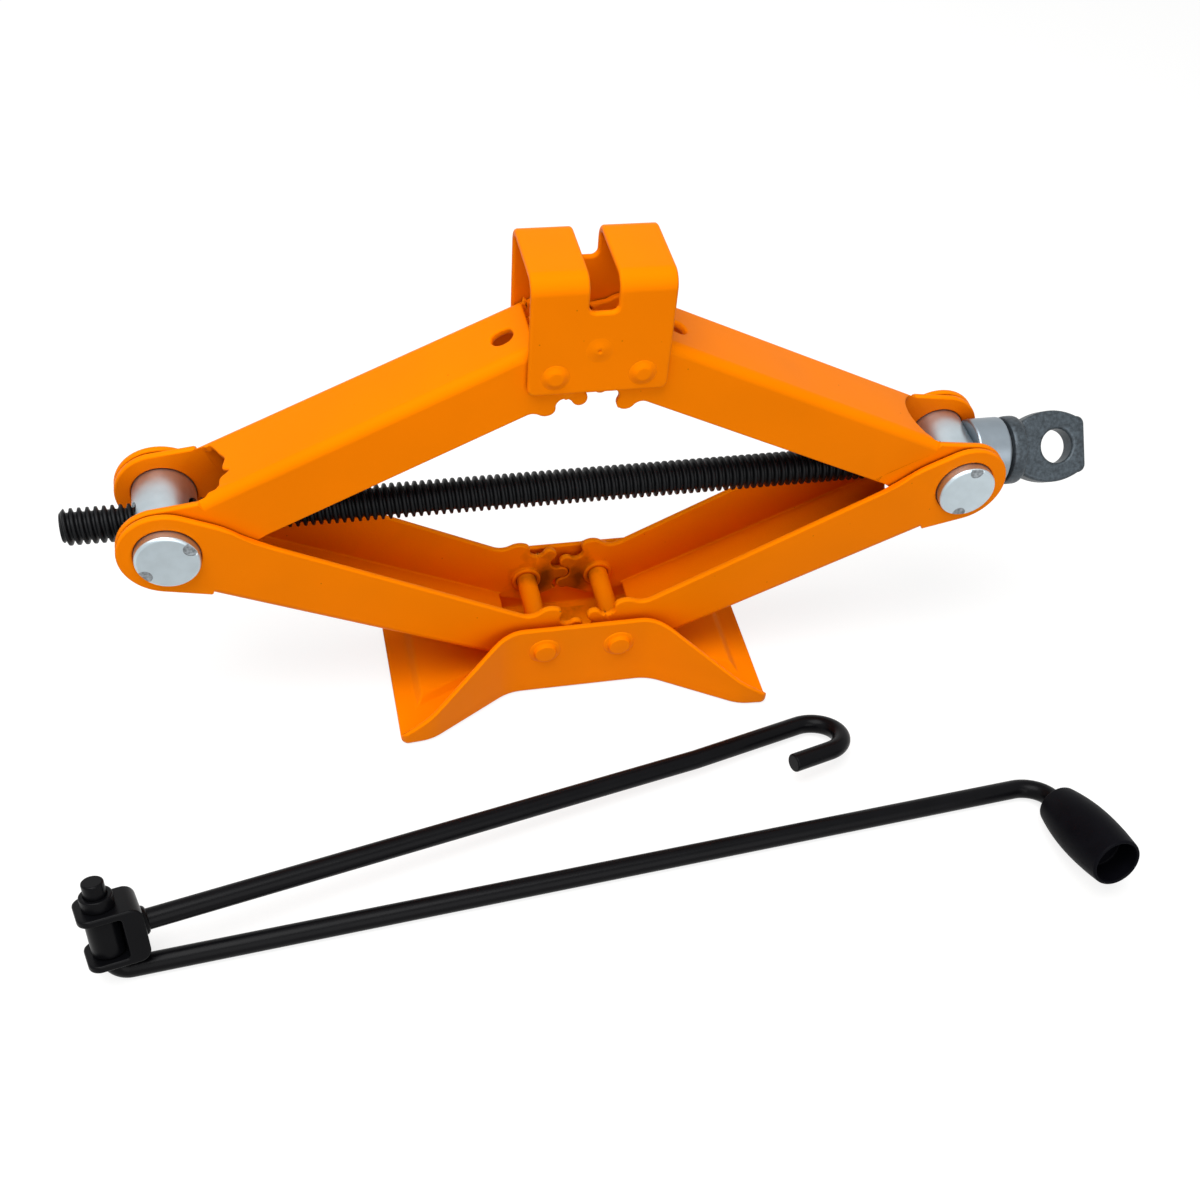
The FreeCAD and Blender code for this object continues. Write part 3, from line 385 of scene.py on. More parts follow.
def paint_material():
    """Powder coat on pressed steel: satin orange, a faint orange peel, thinner on sharp edges and painted
    lighter there as a highlight, with painted shade in narrow gaps and in the lower hollows.
    """
    colour = linear(bpy.context.scene.jack_colours.paint)
    tree, shader, place = new_material("orange_powder_coat")
    cloud = noise(tree, place, 45 * MM, 2.0)
    tint = ramp(tree, cloud, ((0.3, shaded(colour, 0.955)), (0.7, shaded(colour, 1.03))))
    point = pointiness(tree)
    # Painted highlight and wear: sharp edges are lighter, where the coat is thinner and where light catches
    # them
    worn_and_highlit = blend(tree, scaled(tree, point, 0.52, 0.59, 0.0, 0.38), tint, linear(WORN_AND_HIGHLIT_PAINT))
    # Specks of dust under the coat, about 0.4 mm across and few
    dust = node(tree, "ShaderNodeTexVoronoi", {"Scale": 1 / (9 * MM), "Vector": place}).outputs["Distance"]
    speck = scaled(tree, dust, 0.028, 0.045, 0.3, 0.0)
    # Painted shade: faces in gaps narrower than about 2 mm are painted dark, where little light reaches them
    gap = scaled(tree, occlusion(tree, 2.2 * MM), 0.08, 0.38, 0.8, 0.0)
    # Darker patches on the far teeth above the base, inside the flange and not on convex rims
    near = node(tree, "ShaderNodeVectorMath", {"operation": "DISTANCE", 0: place, 1: DARK_PATCH_MIDDLE}).outputs["Value"]
    patch = noise(tree, place, 9 * MM, 3.0)
    dark_patches = scaled(tree, calc(tree, "MULTIPLY_ADD", patch, -24 * MM, near), -3 * MM, 11 * MM, 0.85, 0.0)
    where = node(tree, "ShaderNodeSeparateXYZ", {0: place}).outputs
    far = scaled(tree, where["Y"], 9 * MM, 15 * MM)
    inner = calc(tree, "LESS_THAN", where["Y"], 20.5 * MM)
    off_rims = scaled(tree, point, 0.5, 0.55, 1.0, 0.2)
    for share in (far, inner, off_rims):
        dark_patches = calc(tree, "MULTIPLY", dark_patches, share)
    # Painted shade: the coat is painted darker and redder inside the lower channels, where the real coat is
    # lit mostly by its own colour
    inside = scaled(tree, occlusion(tree, 40 * MM), 0.08, 0.72, 1.0, 0.0)
    level = scaled(tree, where["Z"], 0.0, HOLLOW_SHADE_REACH)
    shade_band = ramp(tree, level, [
        (height / HOLLOW_SHADE_REACH, [value] * 3) for height, value in zip(HOLLOW_SHADE_HEIGHTS, (0, 1, 1, 0))])
    deep = [value * share for value, share in zip(colour, HOLLOW_SHADE_SHARES)]
    hollow_shaded = blend(tree, calc(tree, "MULTIPLY", inside, shade_band), worn_and_highlit, deep)
    # Painted shade in narrow gaps, real dust specks and the darker patches share one dark colour
    shade_and_dust = calc(tree, "MAXIMUM", calc(tree, "MAXIMUM", gap, speck), dark_patches)
    # Orange peel is about 1.5 mm from crest to crest
    peel = noise(tree, place, 1.5 * MM, 1.0)
    dress(tree, shader, blend(tree, shade_and_dust, hollow_shaded, linear(SHADE_AND_DUST)), scaled(tree, cloud, 0, 1, 0.38, 0.5),
          peel, 0.08, 0.1 * MM)
    shader.inputs["Specular IOR Level"].default_value = 0.06
    shader.inputs["Specular Tint"].default_value = [*linear(PAINT_SHINE), 1]


def zinc_material(name, colour, centre, turn):
    """Bright zinc on turned steel: fine rings round the axis that blur what it mirrors, and faint smears."""
    tree, shader, place = new_material(name)
    centred = node(tree, "ShaderNodeMapping", {
        "vector_type": "TEXTURE", "Location": centre, "Rotation": turn, "Vector": place}).outputs[0]
    # Turning marks 0.6 mm apart, coarser than real so that they show
    rings = node(tree, "ShaderNodeTexWave", {
        "wave_type": "RINGS", "rings_direction": "Z", "Scale": WAVE / (0.6 * MM),
        "Distortion": 1.2, "Detail": 2.0, "Vector": centred}).outputs["Fac"]
    smear = noise(tree, place, 6 * MM, 4.0)
    tint = ramp(tree, smear, ((0.32, shaded(colour, 0.92)), (0.6, colour)))
    dress(tree, shader, tint, scaled(tree, smear, 0, 1, 0.34, 0.44), rings, 0.05, 0.05 * MM)
    shader.inputs["Metallic"].default_value = 1.0


def dark_steel_material(name, colour, dark, light, metal, edge_wear_and_highlight, grit, shine=0.5):
    """Oxide-coated steel: dark scale with rubbed edges that are also painted lighter as a highlight, and grit
    of the given size in its bump.
    """
    tree, shader, place = new_material(name)
    scale = noise(tree, place, grit * MM, 5.0, 0.6)
    tint = ramp(tree, scale, ((0.35, shaded(colour, dark)), (0.68, shaded(colour, light))))
    # Convex edges are lighter: rubbed wear and a painted highlight, as on the screw's crests
    worn_and_highlit = blend(tree, scaled(tree, pointiness(tree), 0.54, 0.64, 0.0, edge_wear_and_highlight), tint, linear(RUBBED_AND_HIGHLIT_STEEL))
    dress(tree, shader, worn_and_highlit, scaled(tree, scale, 0, 1, 0.34, 0.58), scale, 0.25, 0.12 * MM)
    shader.inputs["Specular IOR Level"].default_value = shine
    shader.inputs["Metallic"].default_value = metal


def black_material(name, colour, low, high, wave, depth, shine):
    """Black enamel or moulding: nearly black, with slow waves that break up its highlights."""
    tree, shader, place = new_material(name)
    cloud = noise(tree, place, wave * MM, 3.0)
    tint = ramp(tree, cloud, ((0.0, shaded(colour, 0.7)), (1.0, shaded(colour, 1.5))))
    dress(tree, shader, tint, scaled(tree, cloud, 0, 1, low, high), cloud, 0.2, depth * MM)
    shader.inputs["Specular IOR Level"].default_value = shine


def link(name, mesh):
    """A new piece with the given mesh, in the scene."""
    piece = bpy.data.objects.new(name, mesh)
    bpy.context.scene.collection.objects.link(piece)
    return piece


def meshed(name, work):
    """Turn a working mesh into a mesh of that name, and free it."""
    mesh = bpy.data.meshes.new(name)
    work.to_mesh(mesh)
    work.free()
    return mesh


def settle(piece, material, body, nodes):
    """Give a finished piece its finish, and tell the frame what it rides on and stands for."""
    if material is not None:
        piece.data.materials.clear()
        piece.data.materials.append(material)
    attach(piece, body)
    if nodes:
        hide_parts(*nodes)


def baked(piece):
    """Turn a piece and its modifiers into one plain mesh."""
    graph = bpy.context.evaluated_depsgraph_get()
    mesh = bpy.data.meshes.new_from_object(piece.evaluated_get(graph), depsgraph=graph)
    old = piece.data
    piece.modifiers.clear()
    piece.data = mesh
    bpy.data.meshes.remove(old)
    mesh.name = piece.name
    return piece


def solid_copy(name):
    """The CAD node's mesh with its triangles joined and its slivers closed."""
    work = bmesh.new()
    work.from_mesh(frame["nodes"][name].data)
    bmesh.ops.remove_doubles(work, verts=work.verts, dist=SLIVER)
    bmesh.ops.dissolve_degenerate(work, edges=work.edges, dist=SLIVER)
    return work


def prism(name, outline, low, high, place):
    """A straight block over an outline of (x, y) points, as a cutter."""
    work = bmesh.new()
    floor = [work.verts.new(place @ Vector((x, y, low))) for x, y in outline]
    roof = [work.verts.new(place @ Vector((x, y, high))) for x, y in outline]
    work.faces.new(floor)
    work.faces.new(roof)
    for step, first in enumerate(floor):
        after = (step + 1) % len(floor)
        work.faces.new((first, floor[after], roof[after], roof[step]))
    bmesh.ops.recalc_face_normals(work, faces=work.faces)
    return link(name, meshed(name, work))


def carved(piece, cutters):
    """Cut the cutters out of a piece and throw them away."""
    for cutter in cutters:
        cut = piece.modifiers.new("cut", "BOOLEAN")
        cut.object = cutter
        cut.operation = "DIFFERENCE"
        cut.solver = "EXACT"
    baked(piece)
    for cutter in cutters:
        bpy.data.objects.remove(cutter)
    return piece


def cut_copy(name, cutters):
    """The CAD node's joined mesh with the cutters taken out of it."""
    blank = carved(link("blank", meshed("blank", solid_copy(name))), cutters)
    work = bmesh.new()
    work.from_mesh(blank.data)
    bpy.data.objects.remove(blank)
    bmesh.ops.remove_doubles(work, verts=work.verts, dist=SLIVER)
    return work


def evened(piece):
    """Shade a piece by its large faces, so that flats stay flat beside their rounds."""
    normals = piece.modifiers.new("normals", "WEIGHTED_NORMAL")
    normals.weight = FLAT_WEIGHT
    return baked(piece)


def unfolded(piece, skin):
    """Close up the folds that wide rounds leave in narrow faces, until none faces into the solid."""
    work = bmesh.new()
    work.from_mesh(piece.data)
    for _ in range(FOLD_ROUNDS):
        folds = set()
        for face in work.faces:
            normal = skin.find_nearest(face.calc_center_median())[1]
            if face.normal.dot(normal) < FOLDED:
                folds.add(min(face.edges, key=lambda edge: edge.calc_length()))
        if not folds:
            break
        bmesh.ops.collapse(work, edges=list(folds))
        bmesh.ops.dissolve_degenerate(work, edges=work.edges, dist=SLIVER)
    loose = [edge for edge in work.edges if not edge.link_faces]
    bmesh.ops.delete(work, geom=loose, context="EDGES")
    work.to_mesh(piece.data)
    work.free()


def softened(piece_name, work, weigh, widest, segments=3, cuts=()):
    """Round the sharp edges of a joined mesh: weigh gives each edge its round, and cuts split long faces."""
    skin = BVHTree.FromBMesh(work)
    low = [min(vert.co[axis] for vert in work.verts) for axis in range(3)]
    high = [max(vert.co[axis] for vert in work.verts) for axis in range(3)]
    bmesh.ops.dissolve_limit(
        work, angle_limit=FLAT_ANGLE, verts=work.verts, edges=work.edges, delimit={"NORMAL"})
    for spot, normal in cuts:
        bmesh.ops.bisect_plane(
            work, geom=work.verts[:] + work.edges[:] + work.faces[:], plane_co=spot, plane_no=normal)
    bmesh.ops.connect_verts_concave(work, faces=work.faces)
    weight = work.edges.layers.float.new("bevel_weight_edge")
    for edge in work.edges:
        if edge.calc_face_angle(0) > EDGE_ANGLE:
            edge[weight] = min(weigh(edge) / widest, 1)
    for face in work.faces:
        face.smooth = True
    piece = link(piece_name, meshed(piece_name, work))
    bevel = piece.modifiers.new("edges", "BEVEL")
    bevel.limit_method = "WEIGHT"
    bevel.width = widest
    bevel.segments = segments
    bevel.use_clamp_overlap = False
    bevel.loop_slide = False
    baked(piece)
    # Where a round runs out on a curved face, points that left the solid's skin or its box go back
    for point in piece.data.vertices:
        place, _, _, gap = skin.find_nearest(point.co)
        if gap > STRAY * widest:
            point.co = place
        point.co = [min(max(value, least), most) for value, least, most in zip(point.co, low, high)]
    unfolded(piece, skin)
    return evened(piece)


def evenly(size):
    """The same round on every edge."""
    return lambda edge: size


def concave(edge):
    """Whether an edge lies in an inner corner."""
    return not edge.is_convex


def lathe(piece_name, profile, around, centre, axis):
    """Turn a profile of (along, radius) points about an axis; it ends on the axis or where it began."""
    work = bmesh.new()
    turn = axis.to_track_quat("Z", "Y").to_matrix()
    rings = []
    for along, radius in profile:
        if radius < MERGE:
            rings.append([work.verts.new(centre + turn @ Vector((0, 0, along)))])
            continue
        ring = []
        for step in range(around):
            angle = 2 * math.pi * step / around
            point = Vector((radius * math.cos(angle), radius * math.sin(angle), along))
            ring.append(work.verts.new(centre + turn @ point))
        rings.append(ring)
    for first, last in zip(rings, rings[1:]):
        for step in range(around):
            after = (step + 1) % around
            corners = [first[step % len(first)], first[after % len(first)],
                       last[after % len(last)], last[step % len(last)]]
            work.faces.new(list(dict.fromkeys(corners)))
    for face in work.faces:
        face.smooth = True
    bmesh.ops.remove_doubles(work, verts=work.verts, dist=MERGE)
    bmesh.ops.recalc_face_normals(work, faces=work.faces)
    return meshed(piece_name, work)


def arc_points(x, y, radius, start, end, count):
    """Points on an arc, angles in degrees, as (along, radius) pairs."""
    points = []
    for step in range(count + 1):
        angle = math.radians(start + (end - start) * step / count)
        points.append((x + radius * math.cos(angle), y + radius * math.sin(angle)))
    return points


def group(name, sizes):
    """A Geometry Nodes tree with one mesh in and out, and a named input for each size."""
    tree = bpy.data.node_groups.new(name, "GeometryNodeTree")
    tree.interface.new_socket("Geometry", in_out="INPUT", socket_type="NodeSocketGeometry")
    for label, kind in sizes:
        tree.interface.new_socket(label, in_out="INPUT", socket_type=kind)
    tree.interface.new_socket("Geometry", in_out="OUTPUT", socket_type="NodeSocketGeometry")
    return tree, node(tree, "NodeGroupInput").outputs, node(tree, "NodeGroupOutput")


def sealed(tree, given, out, mesh):
    """End a tree: make its instances real and give them the finish."""
    real = node(tree, "GeometryNodeRealizeInstances", {0: mesh})
    dressed = node(tree, "GeometryNodeSetMaterial", {0: real.outputs[0], "Material": given["Finish"]})
    tree.links.new(dressed.outputs[0], out.inputs[0])


def grown(piece_name, mesh, tree, values):
    """Run a tree on a mesh and keep the result as a plain mesh."""
    piece = link(piece_name, mesh)
    modifier = piece.modifiers.new(tree.name, "NODES")
    modifier.node_group = tree
    names = {item.name: item.identifier for item in tree.interface.items_tree if item.in_out == "INPUT"}
    for label, value in values.items():
        modifier[names[label]] = value
    return baked(piece)


def arm_frame(name):
    """The frame of an arm: X from its outer pivot to its toothed end, Z up."""
    side, pivot = (-1, NUT) if name.endswith("left") else (1, THRUST)
    end = SADDLE_RIVET if name.startswith("upper") else BASE_RIVET
    along = (Vector((side * end.x, 0, end.z)) - pivot).normalized()
    up = Vector((side * along.z, 0, abs(along.x)))
    turn = Matrix((along, Vector((0, 1, 0)), up)).transposed().to_4x4()
    return Matrix.Translation(pivot) @ turn


def arm_round(edge, home, sizes):
    """The round of an arm's edge: none where a fold ends, small where the notch runs into the folds."""
    ends = [home @ vert.co for vert in edge.verts]
    if all(abs(end.z) > WEB_LOW for end in ends):
        for stop in BEND_ENDS:
            if all(abs(end.x - stop) < BEND_NEAR for end in ends):
                return 0
        if all(NOTCH[0] < end.x < NOTCH[1] and abs(end.y) > FOLD_ACROSS for end in ends):
            return NOTCH_ROUND
    return sizes.inner_bend if concave(edge) else sizes.edge


def drain_hole():
    """Outline of the oval drain hole, along and across the arm."""
    turns = [2 * math.pi * step / DRAIN_POINTS for step in range(DRAIN_POINTS)]
    return [(DRAIN[0] + DRAIN_HALF[0] * math.cos(turn), DRAIN[1] + DRAIN_HALF[1] * math.sin(turn))
            for turn in turns]


def torn_edge():
    """Outline that bites into the arc of the web's notch, along and across the arm."""
    points = [(TEAR_START * MM, TEAR_HALF * MM), (TEAR_START * MM, -TEAR_HALF * MM)]
    for step in range(int(2 * TEAR_HALF / TEAR_STEP) + 1):
        across = -TEAR_HALF + TEAR_STEP * step
        along = ARC_SHOULDER + ARC_DIP * (1 - (across / ARC_HALF) ** 2)
        along += sum(deep * math.exp(-((across - spot) / wide) ** 2) for spot, wide, deep in TEARS)
        points.append((along * MM, across * MM))
    return points


def world_points(name):
    """The points of a CAD node where it stands in the scene."""
    solid = frame["nodes"][name]
    return [solid.matrix_world @ vert.co for vert in solid.data.vertices]


def seen(tree):
    """1 where a surface shows, straight or in a reflection, and 0 where it only lights others."""
    light = node(tree, "ShaderNodeLightPath").outputs
    mirrored = calc(tree, "MAXIMUM", light["Is Camera Ray"], light["Is Glossy Ray"])
    return calc(tree, "MAXIMUM", mirrored, light["Is Transmission Ray"])


class JACK_OT_finishes(bpy.types.Operator):
    """Mix the finishes that the pieces share"""

    bl_idname = "jack.finishes"
    bl_label = "Mix finishes"

    def execute(self, context):
        colours = context.scene.jack_colours
        paint_material()
        side = (math.pi / 2, 0, 0)
        along = (0, math.pi / 2, 0)
        zinc_material("zinc_plate_left", linear(colours.zinc), NUT, side)
        zinc_material("zinc_plate_right", linear(colours.zinc), THRUST, side)
        zinc_material("turned_steel_cup", linear(colours.cup), THRUST, along)
        # Name, colour, its darkest and lightest share, metal, wear and painted highlight on edges, grit in mm
        # and shine
        dark_steel_material("ground_bearing_steel", linear(BEARING_STEEL), 0.8, 1.1, 1.0, 0.0, 2.0)
        dark_steel_material("staked_zinc", linear(STAKED_ZINC), 0.5, 1.1, 1.0, 0.2, 1.0)
        dark_steel_material("phosphate_screw", linear(colours.screw), 0.6, 1.3, 0.2, 0.05, 1.5, 0.15)
        dark_steel_material("forged_scale", linear(colours.forging), 0.6, 1.4, 0.6, 0.55, 1.6)
        # Name, colour, least and most roughness, length and depth of the waves in mm and shine
        black_material("black_enamel", linear(colours.handle), 0.24, 0.38, 14.0, 0.25, 0.07)
        black_material("moulded_grip", linear(colours.grip), 0.42, 0.56, 5.0, 0.1, 0.03)
        return {"FINISHED"}


class JACK_OT_base(bpy.types.Operator):
    """Press the butterfly base, with wide bends under its flanges"""

    bl_idname = "jack.base"
    bl_label = "Press base"

    def execute(self, context):
        sizes = context.scene.jack_sheet
        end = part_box("base_plate")[1].x

        def weigh(edge):
            first, last = (vert.co for vert in edge.verts)
            at = (first + last) / 2
            if abs(first.z - last.z) >= MERGE or abs(at.x) > end - MERGE:
                return sizes.edge
            if concave(edge):
                folded = abs(at.z - BASE_WALL) < WALL_NEAR and abs(at.y) > FOLD_INSIDE
                return sizes.inner_bend if folded else sizes.edge
            return sizes.base_bend if at.z < MERGE and abs(at.y) > FOLD_UNDER else sizes.edge

        piece = softened("pressed_base", solid_copy("base_plate"), weigh, sizes.base_bend, 4)
        settle(piece, bpy.data.materials["orange_powder_coat"], "base", ["base_plate"])
        return {"FINISHED"}


class JACK_OT_arms(bpy.types.Operator):
    """Press the four channel arms, with rounded sheet edges and folded corners"""

    bl_idname = "jack.arms"
    bl_label = "Press arms"

    def execute(self, context):
        sizes = context.scene.jack_sheet
        paint = bpy.data.materials["orange_powder_coat"]
        for name in ARMS:
            place = arm_frame(name)
            home = place.inverted()
            cutters = []
            if name.startswith("upper"):
                cutters.append(prism("drain", drain_hole(), WEB_LOW, WEB_HIGH, place))
            if name == "upper_left":
                cutters.append(prism("tear", torn_edge(), WEB_LOW, WEB_HIGH, place))
            work = cut_copy(name + "_arm", cutters)
            along = place.to_3x3().col[0]
            cuts = [(place @ Vector((spot, 0, 0)), along) for spot in FACE_SPLITS]
            piece = softened(f"pressed_{name}_arm", work, lambda edge: arm_round(edge, home, sizes),
                             sizes.inner_bend, cuts=cuts)
            settle(piece, paint, name, [name + "_arm"])
        return {"FINISHED"}


class JACK_OT_saddle(bpy.types.Operator):
    """Press the slotted saddle, with the mound on its front"""

    bl_idname = "jack.saddle"
    bl_label = "Press saddle"

    def execute(self, context):
        soft = context.scene.jack_sheet.saddle_edge
        paint = bpy.data.materials["orange_powder_coat"]
        piece = softened("pressed_saddle", solid_copy("saddle_bracket"), evenly(soft), soft, 4)
        settle(piece, paint, "saddle", ["saddle_bracket"])
        # A punch from inside has raised a soft mound with a pit in the middle of the front
        mound = [(-MOUND_SUNK, 0), (-MOUND_SUNK, MOUND), (-SKIM, MOUND)]
        for step in range(9, 1, -1):
            mound.append((MOUND_HEIGHT * math.cos(math.pi * step / 20) ** 2, MOUND * step / 10))
        mound += PIT
        spot = Vector((MOUND_SIDE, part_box("saddle_bracket")[0].y, SADDLE_RIVET.z + MOUND_UP))
        piece = link("press_mark", lathe("press_mark", mound, TURNED, spot, Vector((0, -1, 0))))
        settle(piece, paint, "saddle", [])
        return {"FINISHED"}


class JACK_OT_rivets(bpy.types.Operator):
    """Set the painted rivets in the base and the saddle"""

    bl_idname = "jack.rivets"
    bl_label = "Set rivets"

    def execute(self, context):
        sizes = context.scene.jack_rivets
        tree, given, out = group("rivet_pair", (
            ("Half spacing", "NodeSocketFloat"), ("Height", "NodeSocketFloat"),
            ("Finish", "NodeSocketMaterial")))
        back = calc(tree, "MULTIPLY", given["Half spacing"], -1.0)
        apart = calc(tree, "MULTIPLY", given["Half spacing"], 2.0)
        start = node(tree, "ShaderNodeCombineXYZ", {"X": back, "Z": given["Height"]})
        stride = node(tree, "ShaderNodeCombineXYZ", {"X": apart})
        places = node(tree, "GeometryNodeMeshLine", {
            "Count": 2, "Start Location": start.outputs[0], "Offset": stride.outputs[0]})
        many = node(tree, "GeometryNodeInstanceOnPoints", {
            "Points": places.outputs[0], "Instance": given["Geometry"]})
        sealed(tree, given, out, many.outputs[0])

        # A button stands on a skirt of paint; a dome runs out softly into the sheet
        tall, wide = sizes.button_height, sizes.button
        button = [(0.15 * tall, sizes.skirt - 0.5 * MM), (0.2 * tall, wide + 0.5 * MM),
                  (0.32 * tall, wide + 0.05 * MM)]
        top = wide - BUTTON_TAPER - BUTTON_RIM
        button += arc_points(tall - BUTTON_RIM, top, BUTTON_RIM, 80, 0, 5)
        dome = []
        for step in range(DOME_STEPS - 1, 1, -1):
            out = step / DOME_STEPS
            share = min(max((out - DOME_FLAT) / (1 - DOME_FLAT), 0), 1)
            dome.append((sizes.dome_height * (1 - share * share * (3 - 2 * share)), sizes.dome * out))
        for body, spot, head, foot in (
            ("base", BASE_RIVET, button, sizes.skirt), ("saddle", SADDLE_RIVET, dome, sizes.dome),
        ):
            nodes = [f"{body}_pin_left", f"{body}_pin_right"]
            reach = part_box(nodes[0])[1].y - PIN_HEAD
            side = [(reach - SUNK, sizes.shank), (reach - SUNK, foot), (reach - SKIM, foot)]
            side += [(reach + along, radius) for along, radius in head]
            side.append((reach + max(along for along, radius in head), 0))
            mirror = [(-along, radius) for along, radius in reversed(side)]
            mesh = lathe(f"{body}_rivet", mirror + side, TURNED, Vector(), Vector((0, 1, 0)))
            piece = grown(f"{body}_rivets", mesh, tree, {
                "Half spacing": spot.x, "Height": spot.z,
                "Finish": bpy.data.materials["orange_powder_coat"]})
            settle(piece, None, body, nodes)
        return {"FINISHED"}


class JACK_OT_cross_pins(bpy.types.Operator):
    """Turn the two cross pins and stake their ends"""

    bl_idname = "jack.cross_pins"
    bl_label = "Turn cross pins"

    def execute(self, context):
        staked = bpy.data.materials["staked_zinc"]
        profile = [(-STAKE_DEPTH, 0), (-STAKE_DEPTH, STAKE_FOOT), (STAKE_OUT, STAKE_MOUTH), (STAKE_OUT, 0)]
        # Node, body, place, angle of the first mark in degrees and finish
        for name, body, spot, first, finish in (
            ("nut_trunnion", "nut", NUT, 32.0, "zinc_plate_left"),
            ("thrust_trunnion", "thrust", THRUST, 83.0, "zinc_plate_right"),
        ):
            piece = softened(f"turned_{name}", solid_copy(name), evenly(PIN_ROUND), PIN_ROUND, 2)
            piece.data.materials.append(bpy.data.materials[finish])
            piece.data.materials.append(staked)
            cutters = []
            for side in (-1, 1):
                for angle in (first, first + 180):
                    turn = math.radians(angle)
                    out = Vector((math.cos(turn), 0, math.sin(turn))) * (PIN_RADIUS - STAKE_INSET)
                    centre = spot + out + Vector((0, side * PIN_HALF, 0))
                    mesh = lathe("stake", profile, STAKED, centre, Vector((0, side, 0)))
                    mesh.materials.append(None)
                    mesh.materials.append(staked)
                    for face in mesh.polygons:
                        face.material_index = 1
                    cutters.append(link("stake", mesh))
            evened(carved(piece, cutters))
            settle(piece, None, body, [name])
        return {"FINISHED"}


class JACK_OT_screw(bpy.types.Operator):
    """Roll the thread of the lead screw"""

    bl_idname = "jack.screw"
    bl_label = "Roll thread"

    def execute(self, context):
        sizes = context.scene.jack_screw
        tree, given, out = group("rolled_thread", (
            ("Low end", "NodeSocketFloat"), ("High end", "NodeSocketFloat"), ("Height", "NodeSocketFloat"),
            ("Radius", "NodeSocketFloat"), ("Depth", "NodeSocketFloat"), ("Pitch", "NodeSocketFloat"),
            ("Rows", "NodeSocketInt"), ("Around", "NodeSocketInt"), ("Finish", "NodeSocketMaterial")))
        # A unit grid is rolled up: its X runs along the screw and its Y round it
        grid = node(tree, "GeometryNodeMeshGrid", {
            "Size X": 1.0, "Size Y": 1.0, "Vertices X": given["Rows"], "Vertices Y": given["Around"]})
        here = node(tree, "GeometryNodeInputPosition")
        split = node(tree, "ShaderNodeSeparateXYZ", {0: here.outputs[0]}).outputs
        share = calc(tree, "ADD", split["X"], 0.5)
        turn = calc(tree, "ADD", split["Y"], 0.5)
        angle = calc(tree, "MULTIPLY", turn, 2 * math.pi)
        # The first and last rows close the ends, so the thread runs over the rows between them
        along = scaled(tree, share, END_SHARE, 1 - END_SHARE, given["Low end"], given["High end"])
        turns = calc(tree, "DIVIDE", along, given["Pitch"])
        saw = calc(tree, "PINGPONG", calc(tree, "SUBTRACT", turns, turn), 0.5)
        cut = scaled(tree, saw, *FLANK, 0.0, given["Depth"], interpolation_type="SMOOTHSTEP")
        crest = calc(tree, "SUBTRACT", given["Radius"], cut)
        # The free end is chamfered
        left = calc(tree, "SUBTRACT", along, given["Low end"])
        root = calc(tree, "SUBTRACT", given["Radius"], given["Depth"])
        held = calc(tree, "MINIMUM", crest, calc(tree, "ADD", left, root))
        first = calc(tree, "GREATER_THAN", share, END_ROW)
        last = calc(tree, "LESS_THAN", share, 1 - END_ROW)
        radius = calc(tree, "MULTIPLY", held, calc(tree, "MULTIPLY", first, last))
        y = calc(tree, "MULTIPLY", radius, calc(tree, "COSINE", angle))
        z = calc(tree, "MULTIPLY_ADD", radius, calc(tree, "SINE", angle), given["Height"])
        spot = node(tree, "ShaderNodeCombineXYZ", {"X": along, "Y": y, "Z": z})
        placed = node(tree, "GeometryNodeSetPosition", {0: grid.outputs[0], "Position": spot.outputs[0]})
        merged = node(tree, "GeometryNodeMergeByDistance", {0: placed.outputs[0], "Distance": MERGE})
        smooth = node(tree, "GeometryNodeSetShadeSmooth", {0: merged.outputs[0]})
        sealed(tree, given, out, smooth.outputs[0])

        rows = int((SCREW_HIGH.x - SCREW_LOW.x) / sizes.pitch * ROWS_PER_TURN)
        piece = grown("rolled_lead_screw", bpy.data.meshes.new("rolled_lead_screw"), tree, {
            "Low end": SCREW_LOW.x, "High end": SCREW_HIGH.x, "Height": NUT.z, "Radius": SCREW_RADIUS,
            "Depth": sizes.depth, "Pitch": sizes.pitch, "Rows": rows, "Around": sizes.around + 1,
            "Finish": bpy.data.materials["phosphate_screw"]})
        work = bmesh.new()
        work.from_mesh(piece.data)
        bmesh.ops.recalc_face_normals(work, faces=work.faces)
        work.to_mesh(piece.data)
        work.free()
        settle(piece, None, "screw", ["lead_screw"])
        return {"FINISHED"}


class JACK_OT_bearing(bpy.types.Operator):
    """Turn the thrust cup and dress the balls and race inside it"""

    bl_idname = "jack.bearing"
    bl_label = "Fit thrust bearing"

    def execute(self, context):
        piece = softened("turned_thrust_cup", solid_copy("thrust_cup"), evenly(CUP_ROUND), CUP_ROUND, 2)
        settle(piece, bpy.data.materials["turned_steel_cup"], "thrust", ["thrust_cup"])
        for name in ("bearing_balls", "thrust_race"):
            inside = frame["nodes"][name]
            inside.data.materials.clear()
            inside.data.materials.append(bpy.data.materials["ground_bearing_steel"])
        return {"FINISHED"}


class JACK_OT_eye(bpy.types.Operator):
    """Forge the eye on the end of the screw, with softened edges and scale"""

    bl_idname = "jack.eye"
    bl_label = "Forge eye"

    def execute(self, context):
        def weigh(edge):
            return EYE_HOLLOW if concave(edge) else EYE_ROUND

        piece = softened("forged_eye", solid_copy("screw_eye"), weigh, EYE_ROUND, 4)
        settle(piece, bpy.data.materials["forged_scale"], "screw", ["screw_eye"])
        return {"FINISHED"}


